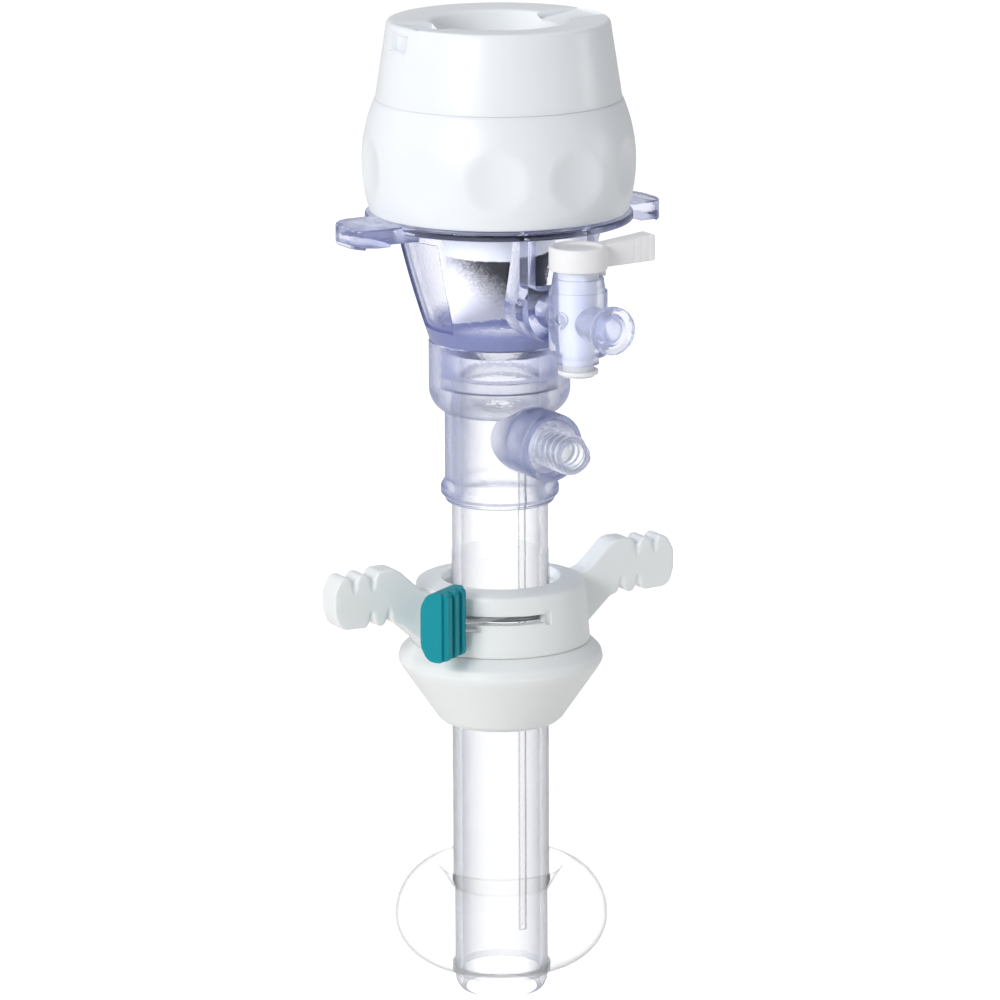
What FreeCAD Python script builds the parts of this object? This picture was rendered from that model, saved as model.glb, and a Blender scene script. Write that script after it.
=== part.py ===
import FreeCAD, Part
import math
import os

import Sketcher
from FreeCAD import Placement, Rotation, Vector

# A blunt balloon trocar for keyhole surgery, in millimetres.
# The origin is on the axis at the mouth of the blunt tip, and +Z runs up the tube to the seal cap.
# +X runs along both pairs of wings, and -Y is the side of the gas valve and the inflation valve.

os.makedirs("parts", exist_ok=True)
doc = FreeCAD.newDocument("trocar")
sheet = doc.addObject("Spreadsheet::Sheet", "Sizes")

# Driving dimensions: a name, its value and what it measures

DIMENSIONS = [
    ("bond_gap", 0.02, "gap between two glued or pressed round faces"),
    ("run_gap", 0.25, "gap between two pieces that move past each other"),
    ("seat_gap", 0.05, "gap between two flat faces that stack"),
    ("lumen_radius", 6.45, "bore that the instruments pass through"),
    ("tube_wall", 1.55, "wall of the long tube"),
    ("nose_land", 0.35, "flat ring at the tip"),
    ("nose_height", 2.4, "height of the rounded tip"),
    ("nose_round", 3.2, "radius of the rounded tip"),
    ("waist_depth", 0.2, "recess of the tube under the balloon"),
    ("waist_top", 17.9, "height of the step above the recess"),
    ("waist_step", 0.3, "height of the step's chamfer"),
    ("tube_lead", 0.5, "chamfer at the tube's upper mouth"),
    ("channel_width", 1.2, "width of the air channel in the tube wall"),
    ("channel_depth", 0.6, "depth of the air channel"),
    ("channel_skin", 0.45, "wall left between the lumen and the channel"),
    ("channel_foot", 11.8, "height of the channel's lower end"),
    ("channel_port", 0.6, "radius of the channel's two side holes"),
    ("film", 0.18, "thickness of the balloon film"),
    ("sleeve_top", 75.9, "height of the sleeve's upper end"),
    ("balloon_middle", 12.8, "height of the balloon's widest ring"),
    ("balloon_round", 9.9, "radius of the balloon's arched side"),
    ("balloon_low_angle", -84.0, "where the arched side ends, near the tip"),
    ("fold_start", 66.0, "where the arched side runs into the upper fold"),
    ("fold_end", 150.0, "where the upper fold turns back to the tube"),
    ("fold_round", 1.5, "radius of the upper fold"),
    ("cuff_bottom", 2.7, "height where the film meets the tip"),
    ("cuff_height", 1.6, "height of the glued cuff"),
    ("band_wall", 0.25, "wall of the swaged band over the cuff"),
    ("hub_bottom", 84.4, "height of the hub's lower lip"),
    ("neck_wall", 1.1, "wall of the hub's neck"),
    ("lip_rise", 0.7, "how far the lip stands out of the neck"),
    ("lip_height", 3.4, "height of the lip"),
    ("lip_corner", 1.0, "height of the lip's rounded corners"),
    ("neck_top", 99.6, "height where the neck meets the shoulder"),
    ("hub_radius", 11.7, "radius of the hub"),
    ("hub_shoulder", 4.0, "height of the hub's rounded shoulder"),
    ("hub_top", 111.7, "height of the joint between hub and funnel"),
    ("hub_wall", 1.8, "wall of the hub round its socket"),
    ("socket_depth", 7.7, "depth of the hub's socket"),
    ("gasket_height", 2.0, "height of the gasket round the tube's end"),
    ("port_height", 96.5, "height of the inflation valve's axis"),
    ("barrel_radius", 5.7, "outer radius of the inflation valve's barrel"),
    ("barrel_wall", 1.1, "wall of that barrel"),
    ("barrel_mouth", 18.2, "distance of its mouth from the trocar's axis"),
    ("barrel_floor", 10.6, "distance of its floor from the trocar's axis"),
    ("barrel_round", 0.9, "rounding at the barrel's mouth"),
    ("valve_plug_length", 4.6, "length of the valve body's plug in the barrel"),
    ("valve_neck", 2.85, "outer radius of the valve's luer neck"),
    ("valve_mouth", 24.5, "distance of the luer mouth from the trocar's axis"),
    ("thread_radius", 3.35, "outer radius of the luer thread"),
    ("thread_width", 0.7, "width of a thread ridge"),
    ("thread_pitch", 1.7, "distance from one thread ridge to the next"),
    ("luer_mouth", 2.15, "radius of a luer socket at its mouth"),
    ("luer_floor", 1.95, "radius of a luer socket at its floor"),
    ("luer_depth", 7.0, "depth of a luer socket"),
    ("valve_throat", 1.3, "radius of the valve's throat"),
    ("valve_chamber", 3.3, "radius of the chamber behind the throat"),
    ("poppet_stem", 1.0, "radius of the poppet's stem"),
    ("poppet_head", 2.7, "radius of the poppet's head"),
    ("poppet_thick", 1.1, "thickness of the poppet's head"),
    ("poppet_tip_gap", 2.2, "how deep the poppet's tip lies in the luer mouth"),
    ("poppet_wire", 0.35, "wire of the poppet's spring"),
    ("poppet_coil", 1.9, "mean radius of the poppet's spring"),
    ("poppet_turns", 2.5, "turns of the poppet's spring"),
    ("funnel_radius", 15.6, "outer radius of the funnel at its top"),
    ("funnel_foot", 11.8, "outer radius of the funnel at the hub"),
    ("funnel_shoulder", 125.7, "height where the funnel's side turns upright"),
    ("funnel_wall", 1.9, "wall of the funnel"),
    ("funnel_throat", 109.4, "height where the funnel meets the lumen"),
    ("throat_gap", 0.15, "how much wider the throat is than the lumen"),
    ("flange_bottom", 131.8, "height of the flange's underside"),
    ("flange_thick", 1.3, "thickness of the flange"),
    ("flange_radius", 22.05, "radius of the flange"),
    ("wing_reach", 29.7, "how far a flange wing reaches from the axis"),
    ("wing_half", 6.1, "half the width of a flange wing"),
    ("wing_thick", 3.5, "thickness of a flange wing at its tip"),
    ("wing_corner", 4.6, "corner radius of a flange wing"),
    ("wing_step", 0.45, "height of each step under a flange wing"),
    ("wing_step_outer", 2.4, "how far the outer step ends before the wing's end"),
    ("wing_step_inner", 6.3, "how far the inner step ends before the wing's end"),
    ("wing_root", 18.0, "where a flange wing starts inside the flange"),
    ("edge_round", 0.45, "rounding of moulded outer edges"),
    ("panel_angle", 48.0, "angle that a recessed side panel spans"),
    ("panel_depth", 0.5, "depth of a side panel"),
    ("panel_foot", 114.2, "height of a panel's lower edge"),
    ("panel_head", 129.6, "height of a panel's upper edge"),
    ("collar_wall", 2.2, "wall of the ring that the cap locks on"),
    ("collar_bore", 15.2, "bore of the ring that the cap locks on"),
    ("collar_height", 6.5, "height of that ring above the flange"),
    ("lock_angle", 28.0, "angle that a bayonet lug spans"),
    ("lock_count", 3, "number of bayonet lugs"),
    ("lock_lift", 3.2, "height of the housing lugs above the flange"),
    ("lock_thick", 1.7, "thickness of a bayonet lug"),
    ("lock_reach", 1.6, "how far a housing lug stands out"),
    ("valve_seat_drop", 1.9, "how far the duckbill's seat lies below the flange top"),
    ("duckbill_rim", 1.2, "thickness of the duckbill's rim"),
    ("duckbill_wall", 0.8, "wall of the duckbill"),
    ("duckbill_bore", 8.2, "bore of the duckbill's sleeve"),
    ("duckbill_sleeve_foot", 125.4, "height where the duckbill starts to close"),
    ("duckbill_lip", 115.2, "height of the duckbill's lips"),
    ("duckbill_lip_half", 8.9, "half the length of the lips"),
    ("duckbill_slit", 0.2, "half the gap between the lips"),
    ("retainer_wall", 1.2, "wall of the duckbill's retainer"),
    ("retainer_rim", 1.5, "thickness of the retainer's rim"),
    ("retainer_foot", 125.0, "height of the retainer's lower edge"),
    ("boss_radius", 6.6, "outer radius of the gas boss"),
    ("boss_face", 20.7, "distance of the boss's face from the axis"),
    ("boss_deck", 4.0, "height of the boss's deck above its axis"),
    ("rib_wall", 1.4, "wall of the two ribs beside the boss"),
    ("spigot_radius", 3.0, "radius of the gas valve's rear spigot"),
    ("spigot_depth", 4.6, "depth of the spigot's socket"),
    ("gas_bore", 1.4, "radius of the gas passage"),
    ("stopcock_offset", 26.15, "distance of the gas valve's axis from the trocar's axis"),
    ("stopcock_radius", 4.75, "outer radius of the gas valve's body"),
    ("stopcock_rise", 8.2, "height of the valve body's rim above the gas port's axis"),
    ("stopcock_rim", 1.4, "height of the rim round the lever's stop tab"),
    ("stopcock_drop", 5.6, "how far the valve body's shoulder lies below that axis"),
    ("tail_drop", 8.2, "how far the end of the tail lies below that axis"),
    ("tail_radius", 3.35, "radius of that tail"),
    ("plug_top", 3.35, "radius of the tapered plug at its top"),
    ("plug_bottom", 2.55, "radius of the tapered plug at its bottom"),
    ("plug_gap", 0.04, "running gap round the plug"),
    ("plug_tail", 1.1, "how far the plug stands out under the tail"),
    ("clip_thick", 0.6, "thickness of the clip that keeps the plug in"),
    ("clip_width", 0.7, "width of that clip"),
    ("rim_ledge", 0.85, "thickness of the rim round the stop tab"),
    ("stop_start", -105.0, "where the rim's cut-out starts"),
    ("stop_sweep", 120.0, "angle that the rim's cut-out spans"),
    ("stop_tab_angle", 29.0, "angle that the stop tab spans"),
    ("luer_outer", 2.85, "outer radius of the gas luer"),
    ("luer_rim", 3.9, "radius of the gas luer's rim"),
    ("luer_rim_thick", 1.15, "thickness of the gas luer's rim"),
    ("luer_reach", 11.75, "how far the gas luer reaches from the valve's axis"),
    ("head_height", 3.75, "height of the lever's round head"),
    ("head_gap", 0.4, "gap between the lever's head and the flange"),
    ("head_dish", 0.5, "depth of the dish on the head"),
    ("head_rim", 0.75, "rim left round the dish"),
    ("lever_reach", 13.4, "how far the lever reaches from the valve's axis"),
    ("lever_half", 1.6, "half the width of the lever"),
    ("lever_lift", 0.75, "height of the lever's underside above the head's"),
    ("lever_tip_lift", 0.35, "how much higher the underside is at the tip"),
    ("lever_groove", 0.25, "depth of the grip grooves near the lever's tip"),
    ("cap_gap", 0.25, "gap between flange and cap"),
    ("cap_foot_radius", 21.3, "outer radius of the cap's foot"),
    ("cap_belly_radius", 22.5, "outer radius of the cap's belly"),
    ("cap_belly", 141.6, "height of the cap's belly"),
    ("cap_seam", 151.8, "height of the seam between the cap's two shells"),
    ("cap_seam_radius", 20.45, "outer radius of the lower shell at the seam"),
    ("cap_wall", 1.9, "wall of the cap"),
    ("shelf_thick", 1.9, "thickness of the shelf under the seal"),
    ("scallop_count", 10, "number of finger scallops"),
    ("scallop_start", 24.0, "angle of the first scallop"),
    ("scallop_height", 141.2, "height of the scallops' middles"),
    ("scallop_depth", 1.0, "depth of a scallop"),
    ("scallop_tall", 8.2, "half height of the ball that cuts a scallop"),
    ("scallop_wide", 9.4, "half width of the ball that cuts a scallop"),
    ("scallop_deep", 3.0, "half depth of the ball that cuts a scallop"),
    ("skirt_gap", 0.3, "gap between the cap's skirt and the housing"),
    ("skirt_wall", 2.7, "wall of the cap's skirt"),
    ("skirt_foot", 134.6, "height of the skirt's lower edge"),
    ("ring_height", 137.1, "height of the sealing ring"),
    ("ring_wire", 0.75, "radius of the sealing ring's section"),
    ("ring_groove", 1.5, "depth of the sealing ring's groove"),
    ("cover_step", 0.2, "step in radius at the seam"),
    ("cover_seam_gap", 0.1, "width of the seam line"),
    ("cover_top", 164.8, "height of the cap's top"),
    ("cover_top_radius", 18.3, "radius of the cap's top"),
    ("cover_round", 0.8, "rounding of the cap's top edge"),
    ("cover_wall", 1.8, "wall of the upper shell"),
    ("cover_dip", 0.25, "how much lower the top is at the entry"),
    ("entry_radius", 10.8, "radius of the entry at the top"),
    ("entry_round", 1.0, "rounding of the entry's lip"),
    ("entry_low_radius", 8.4, "radius of the entry's lower edge"),
    ("entry_low", 161.2, "height of the entry's lower edge"),
    ("entry_wall", 1.1, "wall of the entry's rim"),
    ("window_width", 5.6, "width of a latch window"),
    ("window_height", 2.9, "height of a latch window"),
    ("window_top", 163.5, "height of a latch window's upper edge"),
    ("recess_half", 4.6, "half the width of a recess on the cap's top"),
    ("recess_outer_depth", 0.35, "depth of that recess at its outer end"),
    ("recess_inner_depth", 1.5, "depth of that recess at the entry"),
    ("ball_height", 154.0, "height of the middle of the floating seal's ball"),
    ("ball_radius", 12.4, "radius of the floating seal's ball"),
    ("ball_up_angle", 21.0, "angle of the ball's upper edge"),
    ("ball_down_angle", -24.0, "angle of the ball's lower edge"),
    ("ball_skirt_wall", 1.2, "wall of the tube that guides the ball"),
    ("ball_lip_rise", 4.9, "how far the lip that keeps the ball down lies above its middle"),
    ("ball_lip_thick", 1.3, "thickness of that lip"),
    ("bowl_rim", 0.8, "width of the bowl's rim"),
    ("entry_gap", 0.25, "how much wider the entry bore is than the lumen"),
    ("bowl_floor", 154.6, "height of the bowl's floor"),
    ("entry_bore_foot", 150.6, "height of the lower end of the entry bore"),
    ("seal_pocket", 9.8, "radius of the pocket that holds the lip seal"),
    ("seal_rim", 1.1, "thickness of the lip seal's rim"),
    ("seal_hole", 2.4, "radius of the lip seal's hole"),
    ("seal_drop", 3.4, "how far the lip hangs below its rim"),
    ("seal_lip", 0.55, "thickness of the lip"),
    ("clamp_rim", 0.8, "thickness of the clamp ring under the lip seal"),
    ("clamp_width", 2.0, "width of that clamp ring"),
    ("anchor_height", 60.4, "height of the sliding anchor's groove"),
    ("anchor_hole_gap", 1.6, "gap between the sleeve and the anchor's upper hole"),
    ("anchor_rise", 11.1, "height of the anchor ring above its groove"),
    ("anchor_lip", 1.9, "thickness of the anchor's upper lip"),
    ("anchor_top_radius", 14.0, "outer radius of the anchor ring at its top"),
    ("anchor_radius", 14.9, "outer radius of the anchor ring at its foot"),
    ("anchor_wall", 2.3, "wall of the anchor ring"),
    ("anchor_crown", 0.5, "how much the ring's top slopes"),
    ("slot_low", 6.3, "height of the slot's lower edge above the groove"),
    ("slot_height", 1.1, "height of the slot"),
    ("slot_start", -154.0, "angle of the slot's left end"),
    ("slot_sweep", 66.0, "angle that the slot spans"),
    ("fin_reach", 32.2, "how far an anchor wing reaches from the axis"),
    ("fin_half", 2.3, "half the thickness of an anchor wing"),
    ("fin_top", 15.0, "height of an anchor wing's top above the groove"),
    ("fin_low", 5.5, "height of an anchor wing's underside"),
    ("fin_corner", 2.4, "corner radius of an anchor wing"),
    ("fin_plate", 11.6, "length of a wing's notched plate"),
    ("fin_web_top", 10.2, "height where the upper web leaves the ring"),
    ("fin_web_low", 0.9, "height where the lower web leaves the ring"),
    ("fin_root", 13.2, "where a wing starts inside the ring"),
    ("notch_width", 2.1, "width of a thread notch"),
    ("notch_depth", 1.5, "depth of a thread notch"),
    ("notch_outer", 3.7, "how far the outer upper notch lies before the wing's end"),
    ("notch_inner", 7.1, "how far the inner upper notch lies before the wing's end"),
    ("under_notch_outer", 6.9, "how far the outer lower notch lies before the wing's end"),
    ("under_notch_inner", 10.1, "how far the inner lower notch lies before the wing's end"),
    ("flute_radius", 0.8, "radius of the flute below a thread notch"),
    ("flute_depth", 0.35, "depth of that flute"),
    ("flute_length", 4.2, "length of that flute"),
    ("cone_radius", 17.1, "greatest radius of the cone seal"),
    ("cone_drop", 3.1, "how far the greatest radius lies below the groove"),
    ("cone_shoulder", 15.0, "radius of the cone seal at the groove"),
    ("cone_foot_radius", 9.9, "radius of the cone seal at its foot"),
    ("cone_height", 14.6, "height of the cone seal below the groove"),
    ("cone_foot_band", 0.9, "height of the band at the cone's foot"),
    ("cone_wall", 1.7, "wall of the cone seal"),
    ("cone_gap", 0.2, "gap between the cone's bore and the sleeve"),
    ("cone_grip", 2.4, "height of the ring that grips the tube"),
    ("cone_stem_gap", 0.2, "gap between the cone's stem and the ring"),
    ("cone_stem_rise", 2.2, "how far the cone's stem rises into the ring"),
    ("cone_stem_wall", 1.3, "wall of the cone's stem"),
    ("groove_gap", 0.25, "gap between the ring and the cone"),
    ("coil_radius", 10.4, "mean radius of the clamp's coil"),
    ("coil_wire", 0.8, "wire of the clamp spring"),
    ("coil_pitch", 1.0, "rise of the clamp's coil for each turn"),
    ("coil_turns", 2.0, "turns of the clamp's coil"),
    ("leg_angle", -133.0, "angle where the spring's leg leaves the slot"),
    ("leg_exit", 15.4, "distance where the leg turns to the pad"),
    ("leg_end", 19.0, "distance of the leg's end, inside the pad"),
    ("leg_drop", 1.3, "distance between the leg's two strands"),
    ("knee_round", 1.5, "bend radius where the leg turns to the pad"),
    ("pad_angle", -148.0, "angle of the thumb pad's middle"),
    ("pad_inner", 15.7, "distance of the pad's inner face"),
    ("pad_outer", 23.3, "distance of the pad's outer face"),
    ("pad_half", 2.1, "half the thickness of the thumb pad"),
    ("pad_low", 1.3, "height of the pad's underside above the groove"),
    ("pad_tall", 11.6, "height of the thumb pad"),
    ("pad_round", 1.5, "rounding of the pad's outer upright edges"),
    ("pad_edge", 1.1, "rounding of the pad's upper and lower edges"),
    ("rib_count", 3, "number of grip ribs on the pad"),
    ("rib_pitch", 1.9, "distance from one grip rib to the next"),
    ("rib_width", 1.15, "width of a grip rib"),
    ("rib_rise", 0.7, "height of a grip rib"),
]

for row, (word, number, meaning) in enumerate(DIMENSIONS, start=1):
    sheet.set("A%d" % row, word)
    sheet.set("B%d" % row, str(number))
    sheet.set("C%d" % row, meaning)
    sheet.setAlias("B%d" % row, word)
doc.recompute()


# A size keeps its value and the expression that the model's objects follow

class Size:
    """A length, angle or number together with the expression that gives it."""

    def __init__(self, value, text):
        self.value = value
        self.text = text

    def joined(self, sign, other, value):
        return Size(value, "(%s %s %s)" % (self.text, sign, other.text))

    def __add__(self, other):
        other = size(other)
        return self.joined("+", other, self.value + other.value)

    def __radd__(self, other):
        return size(other) + self

    def __sub__(self, other):
        other = size(other)
        return self.joined("-", other, self.value - other.value)

    def __rsub__(self, other):
        return size(other) - self

    def __mul__(self, other):
        other = size(other)
        return self.joined("*", other, self.value * other.value)

    def __rmul__(self, other):
        return size(other) * self

    def __truediv__(self, other):
        other = size(other)
        return self.joined("/", other, self.value / other.value)

    def __neg__(self):
        return size(0) - self


def size(thing):
    """A plain number as a size."""
    if isinstance(thing, Size):
        return thing
    return Size(float(thing), "%.6f" % thing)


def root(thing):
    return Size(math.sqrt(thing.value), "sqrt(%s)" % thing.text)


def cosine(angle):
    angle = size(angle)
    return Size(math.cos(math.radians(angle.value)), "cos(%s)" % angle.text)


def sine(angle):
    angle = size(angle)
    return Size(math.sin(math.radians(angle.value)), "sin(%s)" % angle.text)


class Sizes:
    """Every driving dimension by its name."""


at = Sizes()
for word, number, meaning in DIMENSIONS:
    setattr(at, word, Size(float(number), "Sizes." + word))


# Sketches, features and primitives that follow the sheet

NODES = []
FULL_TURN = 360
COPY_SLACK = 0.05


def part_body(name, height=None, forward=None):
    """A body with its own label, raised to a height and set forward of the axis where asked."""
    body = doc.addObject("PartDesign::Body", name)
    body.Label = name
    if height is not None:
        body.setExpression("Placement.Base.z", height.text)
    if forward is not None:
        body.setExpression("Placement.Base.y", (-forward).text)
    NODES.append(body)
    return body


def origin_part(body, role):
    for item in body.Origin.OriginFeatures:
        if item.Role == role:
            return item
    raise ValueError("no " + role)


def sketch_on(body, plane, name, lift=None, shift=None, turn=None):
    """A sketch on one of the body's own planes.

    lift moves it off the plane, shift slides it up the plane, and turn swings it about Z."""
    sketch = body.newObject("Sketcher::SketchObject", body.Name + "_" + name)
    sketch.AttachmentSupport = [(origin_part(body, plane), "")]
    sketch.MapMode = "FlatFace"
    if turn is not None:
        sketch.AttachmentOffset = Placement(Vector(), Rotation(Vector(0, 1, 0), turn.value))
        sketch.setExpression("AttachmentOffset.Rotation.Angle", turn.text)
    if lift is not None:
        sketch.setExpression("AttachmentOffset.Base.z", lift.text)
    if shift is not None:
        sketch.setExpression("AttachmentOffset.Base.y", shift.text)
    return sketch


def tie(sketch, kind, value, *where):
    """A dimension of the sketch, bound to its expression."""
    number = sketch.addConstraint(Sketcher.Constraint(kind, *where, value.value))
    sketch.setExpression("Constraints[%d]" % number, value.text)


def pin_point(sketch, edge, end, across, up):
    """Hold one end of an edge, or a circle's middle, at a place on the sketch."""
    nothing = 1e-9
    if abs(across.value) < nothing:
        sketch.addConstraint(Sketcher.Constraint("PointOnObject", edge, end, -2))
    else:
        tie(sketch, "DistanceX", across, -1, 1, edge, end)
    if abs(up.value) < nothing:
        sketch.addConstraint(Sketcher.Constraint("PointOnObject", edge, end, -1))
    else:
        tie(sketch, "DistanceY", up, -1, 1, edge, end)


def bent_edge(sketch, here, there, bend):
    """An arc from here to there; a positive bend turns left, a negative one right."""
    chord = there - here
    half = chord.Length / 2
    radius = abs(bend.value)
    left = Vector(-chord.y, chord.x, 0).normalize()
    side = 1 if bend.value > 0 else -1
    middle = (here + there) * 0.5 + left * (side * math.sqrt(radius * radius - half * half))
    angle_here = math.atan2(here.y - middle.y, here.x - middle.x)
    angle_there = math.atan2(there.y - middle.y, there.x - middle.x)
    circle = Part.Circle(middle, Vector(0, 0, 1), radius)
    if side > 0:
        arc = Part.ArcOfCircle(circle, angle_here, angle_there)
        ends = (1, 2)
    else:
        arc = Part.ArcOfCircle(circle, angle_there, angle_here)
        ends = (2, 1)
    number = sketch.addGeometry(arc, False)
    tie(sketch, "Radius", bend if side > 0 else -bend, number)
    return number, ends[0], ends[1]


def outline(sketch, corners):
    """A closed outline through its corners; a corner's third item bends the edge that leaves it."""
    corners = [tuple(size(item) for item in corner) for corner in corners]
    places = [Vector(corner[0].value, corner[1].value, 0) for corner in corners]
    edges = []
    for number, corner in enumerate(corners):
        here = places[number]
        there = places[(number + 1) % len(places)]
        if len(corner) > 2:
            edges.append(bent_edge(sketch, here, there, corner[2]))
        else:
            line = sketch.addGeometry(Part.LineSegment(here, there), False)
            edges.append((line, 1, 2))
    for number, edge in enumerate(edges):
        after = edges[(number + 1) % len(edges)]
        sketch.addConstraint(Sketcher.Constraint("Coincident", edge[0], edge[2], after[0], after[1]))
    for corner, edge in zip(corners, edges):
        pin_point(sketch, edge[0], edge[1], corner[0], corner[1])
    return sketch


def outline_pair(sketch, corners):
    """A straight-edged outline and its mirror image on the other side of the axis."""
    outline(sketch, corners)
    outline(sketch, [(-size(across), up) for across, up in reversed(corners)])
    return sketch


def round_hole(sketch, across, up, radius):
    """A circle on the sketch."""
    across = size(across)
    up = size(up)
    middle = Vector(across.value, up.value, 0)
    number = sketch.addGeometry(Part.Circle(middle, Vector(0, 0, 1), radius.value), False)
    tie(sketch, "Radius", radius, number)
    pin_point(sketch, number, 3, across, up)
    return sketch


def settle(body, feature, cuts):
    """Recompute, and make sure that a feature that cuts has really cut."""
    before = None
    if cuts:
        before = feature.BaseFeature.Shape.Volume
    doc.recompute()
    if cuts and not body.Shape.Volume < before:
        raise ValueError(feature.Name + " cuts nothing")
    return feature


def turned(body, sketch, cuts=False, angle=FULL_TURN, axis="V_Axis"):
    """The sketch turned about one of its axes, added or cut away."""
    kind = "PartDesign::Groove" if cuts else "PartDesign::Revolution"
    feature = body.newObject(kind, sketch.Name + "_turned")
    feature.Profile = sketch
    feature.ReferenceAxis = (sketch, [axis])
    if angle is not FULL_TURN:
        feature.Midplane = True
        feature.setExpression("Angle", size(angle).text)
    sketch.Visibility = False
    return settle(body, feature, cuts)


def pushed(body, sketch, length, cuts=False, back=False, both=False):
    """The sketch pushed straight out, added or cut away."""
    kind = "PartDesign::Pocket" if cuts else "PartDesign::Pad"
    feature = body.newObject(kind, sketch.Name + "_pushed")
    feature.Profile = sketch
    feature.setExpression("Length", size(length).text)
    feature.Reversed = back
    if both:
        feature.SideType = "Symmetric"
    sketch.Visibility = False
    return settle(body, feature, cuts)


def repeated(body, feature, count):
    """A feature repeated in a full circle about the body's Z axis."""
    base = feature.BaseFeature.Shape.Volume
    once = abs(feature.Shape.Volume - base)
    pattern = body.newObject("PartDesign::PolarPattern", feature.Name + "_repeated")
    pattern.Originals = [feature]
    pattern.Axis = (origin_part(body, "Z_Axis"), [""])
    pattern.Angle = FULL_TURN
    pattern.setExpression("Occurrences", size(count).text)
    body.Tip = pattern
    doc.recompute()
    change = abs(pattern.Shape.Volume - base) / once
    if abs(change - size(count).value) > COPY_SLACK:
        raise ValueError(pattern.Name + " repeats badly: %.3f" % change)
    return pattern


def rounded(body, name, radius, wanted):
    """Round the edges of the body's last feature that the test wants."""
    last = body.Tip
    names = ["Edge%d" % (n + 1) for n, edge in enumerate(last.Shape.Edges) if wanted(edge)]
    if not names:
        raise ValueError(name + " finds no edge")
    feature = body.newObject("PartDesign::Fillet", body.Name + "_" + name)
    feature.Base = (last, names)
    feature.setExpression("Radius", radius.text)
    doc.recompute()
    return feature


def near(one, other):
    return abs(one - other) < 0.02


def solid(kind, name, sizes, place=(0, 0, 0), spin=None):
    """A primitive whose sizes and place follow the sheet."""
    thing = doc.addObject(kind, name)
    if spin is not None:
        thing.Placement = Placement(Vector(), Rotation(Vector(*spin[0]), spin[1]))
    for word, value in sizes.items():
        thing.setExpression(word, size(value).text)
    for word, value in zip("xyz", place):
        thing.setExpression("Placement.Base." + word, size(value).text)
    return thing


def merged(name, things):
    fuse = doc.addObject("Part::MultiFuse", name)
    fuse.Shapes = things
    return fuse


def carved(name, base, tool):
    cut = doc.addObject("Part::Cut", name)
    cut.Base = base
    cut.Tool = tool
    return cut


def finished(thing, name):
    thing.Label = name
    NODES.append(thing)
    return thing


def coil_shape(radius, wire, pitch, turns):
    """A round wire wound about Z, rising clockwise."""
    clockwise = True
    helix = Part.makeHelix(pitch, pitch * turns, radius, 0, clockwise)
    circle = Part.Circle(Vector(radius, 0, 0), Vector(0, 1, 0), wire / 2)
    section = Part.Wire([circle.toShape()])
    return Part.Wire(helix.Edges).makePipeShell([section], True, True)


# Sizes that more than one piece shares

tube_radius = at.lumen_radius + at.tube_wall
waist_radius = tube_radius - at.waist_depth
sleeve_radius = tube_radius + at.bond_gap + at.film
socket_floor = at.hub_top - at.socket_depth
gasket_top = socket_floor + at.gasket_height
socket_radius = at.hub_radius - at.hub_wall
spigot_outer = socket_radius - at.bond_gap
hub_bore = tube_radius + at.bond_gap
neck_radius = hub_bore + at.neck_wall
throat_radius = at.lumen_radius + at.throat_gap
flange_top = at.flange_bottom + at.flange_thick
barrel_bore = at.barrel_radius - at.barrel_wall
collar_outer = at.collar_bore + at.collar_wall
collar_top = flange_top + at.collar_height
valve_seat = flange_top - at.valve_seat_drop
cap_foot = flange_top + at.cap_gap
channel_floor = at.lumen_radius + at.channel_skin


def arch(rise, run):
    """The radius of an arc that starts upright and moves in by run over a rise."""
    return (rise * rise + run * run) / (2 * run)


# The long tube, with its blunt tip and the air channel in its wall

def make_cannula_tube():
    body = part_body("cannula_tube")
    top = gasket_top - at.run_gap
    side = outline(sketch_on(body, "XZ_Plane", "wall"), [
        (at.lumen_radius, 0),
        (at.lumen_radius + at.nose_land, 0, at.nose_round),
        (waist_radius, at.nose_height),
        (waist_radius, at.waist_top),
        (tube_radius, at.waist_top + at.waist_step),
        (tube_radius, top),
        (at.lumen_radius + at.tube_lead, top),
        (at.lumen_radius, top - at.tube_lead),
    ])
    turned(body, side)
    half = at.channel_width / 2
    channel = outline(sketch_on(body, "XZ_Plane", "channel", lift=channel_floor), [
        (-half, at.channel_foot),
        (half, at.channel_foot),
        (half, at.port_height + half),
        (-half, at.port_height + half),
    ])
    pushed(body, channel, at.channel_depth, cuts=True, back=True)
    for name, height in (("outlet", at.channel_foot + at.channel_port), ("inlet", at.port_height)):
        port = round_hole(sketch_on(body, "XZ_Plane", name, lift=channel_floor), 0, height, at.channel_port)
        pushed(body, port, at.tube_wall, cuts=True, back=True)


# The thin sleeve with the inflated balloon, and the band that closes it at the tip

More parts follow.
